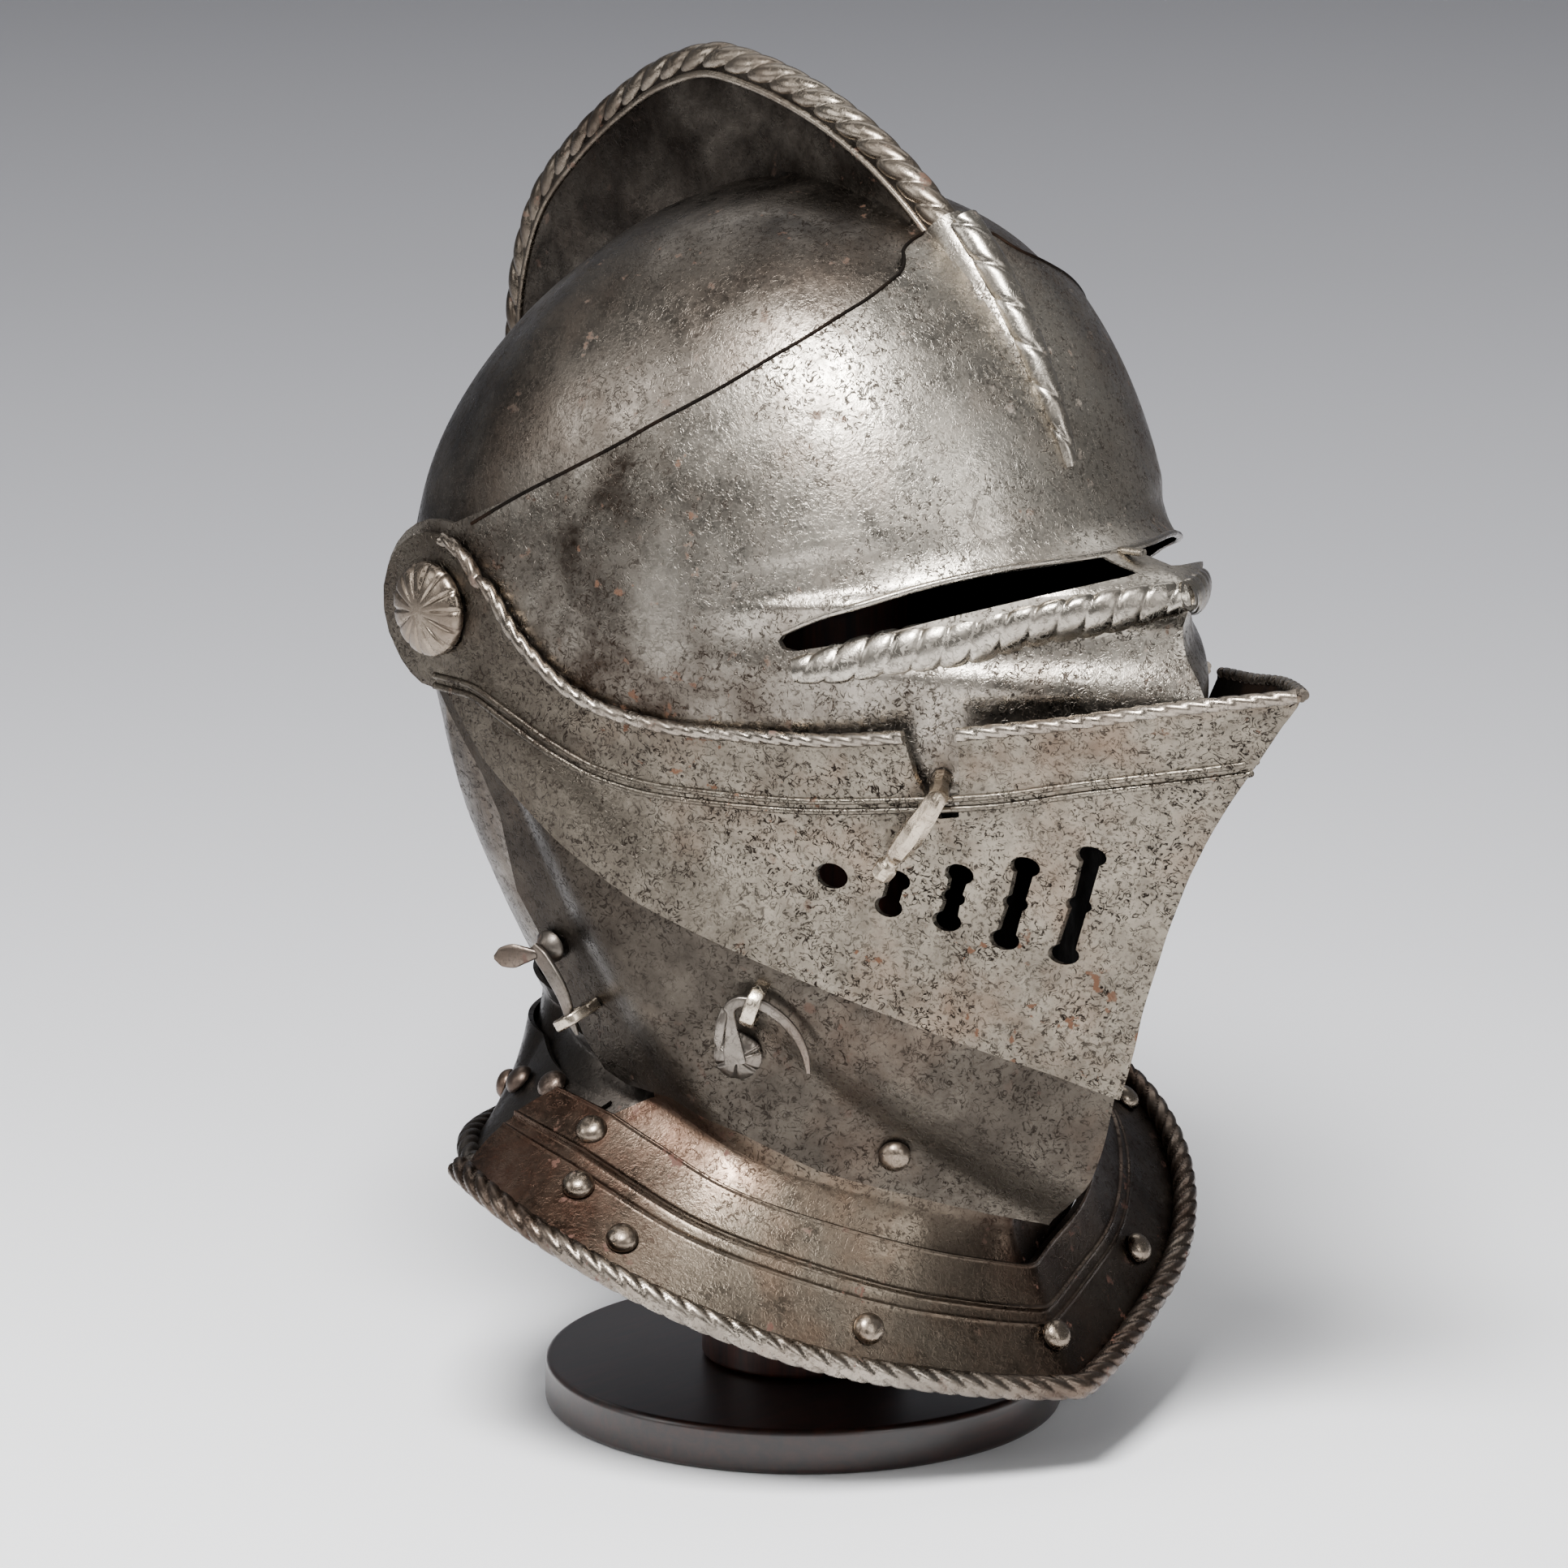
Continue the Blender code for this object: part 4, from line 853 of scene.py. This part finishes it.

# Roped rim: the plates' lower edges are turned over and chiselled into a rope
# whose long strands lie almost along the edge.
# Painted shade: the front rim rope darkens towards the back, and towards the middle and the far
# side.
rim_iron = wrought_iron("rubbed_iron_rim", "#A0978B", "#4A4139", "#54352A",
                        (("Y", -0.05, 0.0, "#33241C", 0.85),
                         ("X", -0.045, 0.0, "#3A281E", 0.8)), 0.4, 1.1, (0.22, 0.38))
for name, front, turns, outs, radius, body in (
        ("front_rim_rope", True, fan(-93.5, 93.5, 0.5), FRONT_PLATE_OUT, 3.4, CHIN_BODY),
        ("rear_rim_rope", False, fan(99, 261, 0.8), REAR_PLATE_OUT, 2.9, SKULL_BODY)):
    grid, normal = collar_rows(front, turns, [0.97, 1.0], outs)
    down = grid[:, 1] - grid[:, 0]
    down /= np.linalg.norm(down, axis=1)[:, None]
    centre = grid[:, 1] + normal[:, 1] * radius * MM + down * radius * 0.6 * MM
    rim_rope = rope(name, centre, [radius * MM], 6.4 * MM, 0.28, normal[:, 1], lay=4)
    finish_piece(rim_rope, rim_iron if front else rear_shaded_iron, "steel", body)

# Rivets: iron rivets with raised round heads, closed cold over the plates. They
# hold the lames to the wide plates and stand in pairs on both sides.
def turned_piece(name, centre, normal, profile, segments=40):
    """Turned solid from rows of radius and height in millimetres."""
    normal = Vector(normal).normalized()
    side = normal.orthogonal().normalized()
    other = normal.cross(side)
    vertices = []
    for radius, height in profile:
        for a in np.linspace(0, 2 * math.pi, segments, endpoint=False):
            vertices.append(centre + normal * height * MM
                            + (side * math.cos(a) + other * math.sin(a)) * radius * MM)
    return new_object(name, vertices, tube_faces(len(profile), segments), 40)


def dome(radius, rise, steps=10):
    """Profile of a round head with a small flat foot."""
    rows = [(radius * 0.90, 0.0), (radius * 0.98, 0.06 * rise)]
    rows += [(radius * math.cos(a) ** 0.8, rise * (0.08 + 0.92 * math.sin(a)))
             for a in np.linspace(0.06, math.pi / 2 - 0.03, steps)]
    return rows


rivet_iron = wrought_iron("rubbed_iron_rivets", "#938779", "#4C4037", "#4C3026",
                          (), 0.3, 1.0, (0.2, 0.36))
# Painted shade: the rear rivets are a darker copy of the front ones.
rear_shaded_rivet_iron = wrought_iron("painted_shade_iron_rivets", "#6F6259", "#3A2F29", "#43291F",
                               (), 0.3, 1.2, (0.28, 0.48))
RIVETS = (
    ("front", 84, 0.42), ("front", 76, 0.72), ("front", 64, 0.83),
    ("front", 30, 0.80), ("front", 0, 0.72), ("rear", 104, 0.36), ("rear", 118, 0.55),
    ("rear", 140, 0.80),
)
for part, turn, drop in RIVETS:
    front = part == "front"
    outs = FRONT_PLATE_OUT if front else REAR_PLATE_OUT
    for side, label in (SIDES if turn else ((1, "middle"),)):
        use = side * turn if front else (turn if side > 0 else 360 - turn)
        grid, normal = collar_rows(front, [use - 1.5, use, use + 1.5],
                                   [drop - 0.02, drop, drop + 0.02], outs)
        seat = Vector(grid[1, 1]) + Vector(normal[1, 1]) * (SHEET + 0.4 * MM)
        head = turned_piece("%s_rivet_head_%s_%d" % (part, label, turn), seat, normal[1, 1],
                            dome(4.3, 3.5))
        finish_piece(head, rivet_iron if front else rear_shaded_rivet_iron, "steel",
                     CHIN_BODY if front else SKULL_BODY,
                     "%s_rivet_%s_%d" % (part, label, turn))
for side, label in SIDES:
    seat, normal = lower_sheet.spot(67.3, 88.6, side, 0.9 * MM)
    head = turned_piece("chin_rivet_head_" + label, seat, normal, dome(4.3, 3.5))
    finish_piece(head, rivet_iron, "steel", CHIN_BODY, "chin_rivet_" + label)

# Temple rosettes: turned iron bosses with fourteen flutes filed round the dome,
# riveted through the upper bevor on the axis that all the plates share.
def fluted(piece, centre, normal, flutes, depth, radius, start=0.25):
    """Press radial flutes into a turned piece's outer face."""
    normal = Vector(normal).normalized()
    side = normal.orthogonal().normalized()
    other = normal.cross(side)
    for vertex in piece.data.vertices:
        away = vertex.co - centre
        rise = away.dot(normal)
        flat = away - normal * rise
        if rise < 0.045 * radius:
            continue
        turn = math.atan2(flat.dot(other), flat.dot(side))
        share = min(1.0, flat.length / radius)
        cut_depth = abs(math.cos(flutes * turn / 2)) ** 20 * depth
        cut_depth *= max(0.0, min(1.0, (share - start) / 0.2))
        vertex.co -= normal * min(cut_depth, rise * 0.6)


for side, label in SIDES:
    seat = Vector((side * (90 * MM + 3 * (SHEET + SLIP) + 0.5 * MM), TEMPLE.y, TEMPLE.z))
    profile = [(12.2, 0.0), (12.5, 0.5), (12.5, 1.2)]
    profile += [(12.4 * math.cos(a), 1.4 + 4.0 * math.sin(a))
                for a in np.linspace(0.05, math.pi / 2 - 0.02, 22)]
    rosette = turned_piece("temple_rosette_" + label, seat, (side, 0, 0), profile, 144)
    fluted(rosette, seat, (side, 0, 0), 14, 0.8 * MM, 12.5 * MM)
    finish_piece(rosette, rivet_iron, "steel", "upper_bevor", "temple_boss_" + label)


# Lifting peg: a forged bar, filed in facets, riveted through the visor and
# bent down to a knob. It stands in the notch in the bevor's edge.
def forged(name, path, widths, thicks, ups, around=20, square=1.0):
    """Forged bar along points, with half widths and thicknesses in millimetres."""
    points = np.array([tuple(p) for p in path], float)
    run = travel(points)
    table = np.column_stack([run, points, np.array(widths) * MM, np.array(thicks) * MM])
    at = np.linspace(0, run[-1], 64 if FINE else 24)
    line = np.stack([read_column(table, at, i) for i in (1, 2, 3)], -1)
    wide, thick = read_column(table, at, 4), read_column(table, at, 5)
    ahead = np.gradient(line, axis=0)
    ahead /= np.linalg.norm(ahead, axis=1)[:, None]
    side = np.cross(ahead, np.array(tuple(ups), float))
    side /= np.linalg.norm(side, axis=1)[:, None]
    up = np.cross(side, ahead)
    turn = np.linspace(0, 2 * math.pi, around, endpoint=False) + math.pi / around
    across = np.sign(np.cos(turn)) * np.abs(np.cos(turn)) ** square
    above = np.sign(np.sin(turn)) * np.abs(np.sin(turn)) ** square
    vertices = (line[:, None, :] + side[:, None, :] * (wide[:, None] * across)[..., None]
                + up[:, None, :] * (thick[:, None] * above)[..., None]).reshape(-1, 3)
    return new_object(name, vertices, tube_faces(len(at), around), 40)


peg_iron = wrought_iron("rubbed_iron_peg", "#CBBDAA", "#7C6C5C", "#5F4030", (), 0.3, 0.6,
                        (0.2, 0.34))
seat, normal = visor_sheet.spot(93.6, 195, -1, 0.6 * MM)
elbow = seat + normal * 12.5 * MM
knob = seat + normal * 16.5 * MM + Vector((0, 17, -19)) * MM
arm = knob - elbow
PEG_HALF = (3.0, 2.6, 2.7, 3.0, 3.4, 2.9, 2.0, 3.0, 2.8, 0.8)
peg = forged("lifting_peg_bar",
             [seat, seat + normal * 6 * MM, elbow, elbow + arm * 0.18 + normal * 1.4 * MM,
              elbow + arm * 0.45 + normal * 2 * MM, elbow + arm * 0.75 + normal * MM,
              elbow + arm * 0.9, knob, knob + arm.normalized() * 3.4 * MM,
              knob + arm.normalized() * 4.6 * MM],
             PEG_HALF, PEG_HALF, (0, 1, 0), 8)
finish_piece(peg, peg_iron, "steel", "visor", "lifting_peg")

# Bevor latch: a flat hook turns on a rosette and passes through a strap
# staple on the bevor's edge. Forged iron, left dark except where it rubs.
latch_iron = wrought_iron("dark_forged_iron", "#7E776F", "#332E2A", "#43291F", (), 0.3, 1.0,
                          (0.26, 0.45))
strap_iron = wrought_iron("rubbed_iron_straps", "#D2C6B4", "#857766", "#5F4030", (), 0.3, 0.6,
                          (0.2, 0.34))


def latch_frame(stud, eye):
    """Seats, outward directions, the hook's two directions and its reach, from
    side-view millimetres ahead of and below the temple."""
    (stud_seat, stud_normal), (eye_seat, eye_normal) = (
        lower_sheet.spot(ahead - 40, 227 - below, -1) for ahead, below in (stud, eye))
    away = eye_seat - stud_seat
    first = (away - stud_normal * away.dot(stud_normal)).normalized()
    return (stud_seat, stud_normal, eye_seat, eye_normal, first, stud_normal.cross(first),
            away.dot(first))


(stud_seat, stud_normal, eye_seat, eye_normal, first, second, reach) = latch_frame(
    (80, 111), (87.5, 94.5))
rosette = turned_piece("bevor_latch_rosette", stud_seat, stud_normal,
                       [(5.6, 0.4), (6.2, 1.0), (6.2, 2.0), (5.4, 2.9), (3.6, 3.6), (1.6, 3.9),
                        (0.3, 4.0)], 120)
fluted(rosette, stud_seat, stud_normal, 6, 0.8 * MM, 6.2 * MM, 0.12)
finish_piece(rosette, latch_iron, "steel_dark", CHIN_BODY, "bevor_latch_stud")
HOOK = ((26, 0.0, 2.9, 1.0), (26, 0.35, 2.4, 1.0), (26, 0.62, 1.9, 1.0), (24, 0.84, 1.7, 1.0),
        (14, 0.97, 1.6, 1.0), (0, 1.0, 1.6, 0.9), (-16, 1.0, 1.5, 0.9), (-32, 1.01, 1.4, 0.8),
        (-48, 1.03, 1.2, 0.7), (-62, 1.05, 0.95, 0.6), (-76, 1.08, 0.5, 0.4))
path = [stud_seat + stud_normal * (6.8 + share) * MM
        + (first * math.cos(math.radians(turn)) + second * math.sin(math.radians(turn)))
        * reach * share for turn, share, _, _ in HOOK]
hook = forged("bevor_latch_arm", path, [row[2] for row in HOOK], [row[3] for row in HOOK],
              stud_normal, 20, 0.6)
finish_piece(hook, latch_iron, "steel_dark", "bevor_latch_hook", "bevor_latch_hook")
thumb_path = [stud_seat + stud_normal * lift * MM
              + (first * math.cos(math.radians(turn)) + second * math.sin(math.radians(turn)))
              * reach * share for turn, share, lift in
              ((28, 0.86, 7.6), (36, 0.66, 8.6), (48, 0.46, 8.8), (66, 0.32, 8.4))]
thumb = forged("bevor_latch_thumb", thumb_path, (1.1, 1.3, 1.2, 0.5), (0.9, 1.1, 1.0, 0.5),
               stud_normal, 16, 0.7)
finish_piece(thumb, latch_iron, "steel_dark", "bevor_latch_hook")


def strap(name, low, out, across, half_wide, half, rise, node):
    """Flat strap bent over the hook, both feet riveted through the plate."""
    shape = [(1.0, 0.0), (1.02, 0.45), (0.92, 0.78), (0.55, 0.98), (0.0, 1.02),
             (-0.55, 0.98), (-0.92, 0.78), (-1.02, 0.45), (-1.0, 0.0)]
    path = [low + across * half * a + out * rise * b for a, b in shape]
    piece = forged(name, path, [0.75] * 9, [half_wide] * 9, Vector(across).cross(out), 16, 0.5)
    finish_piece(piece, strap_iron, "steel_dark", CHIN_BODY, node)


across = (second - eye_normal * second.dot(eye_normal)).normalized()
drop = (eye_seat - stud_seat).dot(stud_normal)
strap("bevor_latch_strap", eye_seat + eye_normal * 0.5 * MM, eye_normal, first, 1.9,
      4.6 * MM, 10.8 * MM - drop, "bevor_latch_staple")

# Neck latch: a tapered tongue with a leaf-shaped thumb piece, held by a strap,
# locks the chin plate to the skull's side.
(stud_seat, stud_normal, eye_seat, eye_normal, first, second, reach) = latch_frame(
    (28, 88), (37, 104))
stud = turned_piece("neck_latch_pin", stud_seat, stud_normal,
                    [(3.6, 0.4), (4.5, 1.2), (4.4, 2.2), (3.0, 3.6), (1.8, 4.8), (0.3, 5.0)], 48)
finish_piece(stud, latch_iron, "steel_dark", CHIN_BODY, "neck_latch_stud")
tongue = forged("neck_latch_tongue",
                [stud_seat + stud_normal * lift * MM + first * reach * share
                 + second * reach * off for share, off, lift in
                 ((-0.12, 0.0, 6.2), (0.1, 0.05, 6.4), (0.4, 0.10, 6.8), (0.7, 0.09, 7.0),
                  (1.0, 0.0, 7.2), (1.25, -0.06, 7.0))],
                (1.4, 2.6, 2.6, 2.2, 1.5, 0.5), (0.8, 1.0, 1.0, 0.9, 0.8, 0.4),
                stud_normal, 20, 0.6)
finish_piece(tongue, latch_iron, "steel_dark", "neck_latch_hook", "neck_latch_hook")
leaf_out = (Vector((0, 1, 0)) * 0.8 + stud_normal * 0.55).normalized()
leaf_start = stud_seat + stud_normal * 6.6 * MM
leaf = forged("neck_latch_leaf",
              [leaf_start, leaf_start + leaf_out * 3 * MM, leaf_start + leaf_out * 6.5 * MM,
               leaf_start + leaf_out * 9.5 * MM, leaf_start + leaf_out * 11.5 * MM],
              (1.2, 2.2, 3.2, 2.6, 0.6), (1, 0.9, 0.8, 0.7, 0.4), (1, 0, 0), 16, 0.7)
finish_piece(leaf, latch_iron, "steel_dark", "neck_latch_hook")
drop = (eye_seat - stud_seat).dot(stud_normal)
strap("neck_latch_strap", eye_seat + eye_normal * 0.5 * MM, eye_normal, second, 1.5,
      4.0 * MM, 10.2 * MM - drop, "neck_latch_staple")

# Stand: a turned disc and post of dark stained hardwood, waxed; the disc's colour is darker
# still, partly as painted shade. The post is pegged into the disc and goes up inside the skull,
# which rests on it.
def stained_wood(name, light, dark, across):
    """Waxed hardwood. across is how much the grain is drawn out on each axis."""
    made = bpy.data.materials.new(name)
    made.use_nodes = True
    tree = made.node_tree
    shader = tree.nodes["Principled BSDF"]
    place = add_node(tree, "ShaderNodeTexCoord").outputs["Object"]
    stretch = add_node(tree, "ShaderNodeMapping", {}, Vector=place)
    stretch.inputs["Scale"].default_value = across
    grain = add_node(tree, "ShaderNodeTexNoise", {}, Vector=stretch.outputs["Vector"],
                     Scale=420.0, Detail=5, Roughness=0.6, Distortion=0.6).outputs["Fac"]
    cloud = add_node(tree, "ShaderNodeTexNoise", {}, Vector=place, Scale=28.0, Detail=3,
                     Roughness=0.6).outputs["Fac"]
    fine = ramp(tree, grain, [(0.35, linear(dark)), (0.68, linear(light))])
    wide = ramp(tree, cloud, [(0.35, 0.55), (0.7, 1.0)])
    colour = add_node(tree, "ShaderNodeMix", {"data_type": "RGBA", "blend_type": "MULTIPLY"},
                      i0=1.0, i6=fine, i7=wide)
    tree.links.new(colour.outputs[2], shader.inputs["Base Color"])
    shader.inputs["Roughness"].default_value = 0.38
    shader.inputs["Coat Weight"].default_value = 0.35
    shader.inputs["Coat Roughness"].default_value = 0.3
    bump = add_node(tree, "ShaderNodeBump", {}, Height=grain, Strength=0.15,
                    Distance=0.15 * MM)
    tree.links.new(bump.outputs["Normal"], shader.inputs["Normal"])
    return made


def soft_profile(radius, low, high, soft):
    """Turned profile between two heights, with rounded edges."""
    rows = [(0.5, low), (radius - soft, low)]
    rows += [(radius - soft + soft * math.sin(a), low + soft - soft * math.cos(a))
             for a in np.linspace(0.2, math.pi / 2, 6)]
    rows += [(radius - soft + soft * math.cos(a), high - soft + soft * math.sin(a))
             for a in np.linspace(0, math.pi / 2, 8)]
    return rows + [(0.5, high)]


disc = turned_piece("turned_disc", Vector((0, 0, 0)), (0, 0, 1),
                    soft_profile(70, 0.0, 12.5, 1.8), 160)
# The disc's colour, darker than the post's, is its stain and partly painted shade under the
# helmet.
disc_wood = stained_wood("stained_wood_disc_painted_shade", "#35190F", "#140906", (0.12, 1.0, 1.0))
finish_piece(disc, disc_wood, "wood", SKULL_BODY, "stand_disc")
post = turned_piece("turned_post", Vector((0, 0, 0)), (0, 0, 1),
                    soft_profile(27.5, 12.8, 327.6, 1.5), 96)
post_wood = stained_wood("stained_wood_post", "#52271A", "#200E0A", (1.0, 1.0, 0.08))
finish_piece(post, post_wood, "wood", SKULL_BODY, "stand_post")

# Studio: a floor painted from white near the helmet to grey behind, as painted fall-off of light,
# a strong soft box above, two weak ones in front and one for the backdrop, as for a catalogue
# photograph.
towards = Vector((camera_back.x, camera_back.y, 0)).normalized()
aside = Vector((-towards.y, towards.x, 0))
sweep_points = [(1.6, 0.0), (-3.2, 0.0)]
sweep_points += [(-3.2 - 0.8 * math.sin(a), 0.8 - 0.8 * math.cos(a))
                 for a in np.linspace(0, math.pi / 2, 16)[1:]]
sweep_points += [(-4.0, 2.4)]
sweep_vertices = [towards * along + aside * (side * 3.2) + Vector((0, 0, rise))
                  for along, rise in sweep_points for side in (-1, 1)]
sweep_faces = [(2 * i, 2 * i + 1, 2 * i + 3, 2 * i + 2) for i in range(len(sweep_points) - 1)]
sweep = new_object("studio_sweep", sweep_vertices, sweep_faces)
paper = bpy.data.materials.new("studio_paper_painted_falloff")
paper.use_nodes = True
tree = paper.node_tree
place = add_node(tree, "ShaderNodeTexCoord").outputs["Object"]
depth = add_node(tree, "ShaderNodeVectorMath", {"operation": "DOT_PRODUCT"}, i0=place,
                 i1=tuple(towards))
reach = add_node(tree, "ShaderNodeMapRange", {}, Value=depth.outputs["Value"],
                 From_Min=0.2, From_Max=-2.9)
# Painted shade: the paper's colour goes from white near the helmet to grey far behind.
painted_falloff = ramp(tree, reach.outputs["Result"],
            [(0.0, linear("#FAFAFB")), (0.10, linear("#F4F4F6")), (0.22, linear("#E6E6EA")),
             (0.40, linear("#D2D2D7")), (0.65, linear("#BDBDC2")), (1.0, linear("#ABABB0"))])
shader = tree.nodes["Principled BSDF"]
tree.links.new(painted_falloff, shader.inputs["Base Color"])
shader.inputs["Roughness"].default_value = 0.85
shader.inputs["Specular IOR Level"].default_value = 0.1
sweep.data.materials.append(paper)


def soft_box(name, position, target, size, power):
    """Rectangular lamp turned towards a target."""
    light = bpy.data.lights.new(name, "AREA")
    light.shape = "RECTANGLE"
    light.size, light.size_y = size
    light.energy = power
    thing = bpy.data.objects.new(name, light)
    thing.location = position
    thing.rotation_euler = (Vector(position) - Vector(target)).to_track_quat("Z", "Y").to_euler()
    bpy.context.scene.collection.objects.link(thing)


focus = (0, -0.02, 0.2)
soft_box("box_above", towards * 0.80 - aside * 0.15 + Vector((0, 0, 1.20)), focus,
         (0.42, 0.36), 50)
soft_box("box_front_right", towards * 1.1 + aside * 0.9 + Vector((0, 0, 0.65)), focus,
         (0.5, 0.7), 5)
soft_box("box_left", -aside * 1.5 + towards * 0.5 + Vector((0, 0, 0.9)), focus, (0.6, 0.9), 7)
soft_box("box_backdrop", towards * -1.5 + Vector((0, 0, 2.2)), tuple(towards * -1.7), (2.8, 1.6),
         22)
world = bpy.data.worlds.new("studio_world")
world.use_nodes = True
world.node_tree.nodes["Background"].inputs["Color"].default_value = (0.80, 0.81, 0.83, 1)
world.node_tree.nodes["Background"].inputs["Strength"].default_value = 0.30
bpy.context.scene.world = world
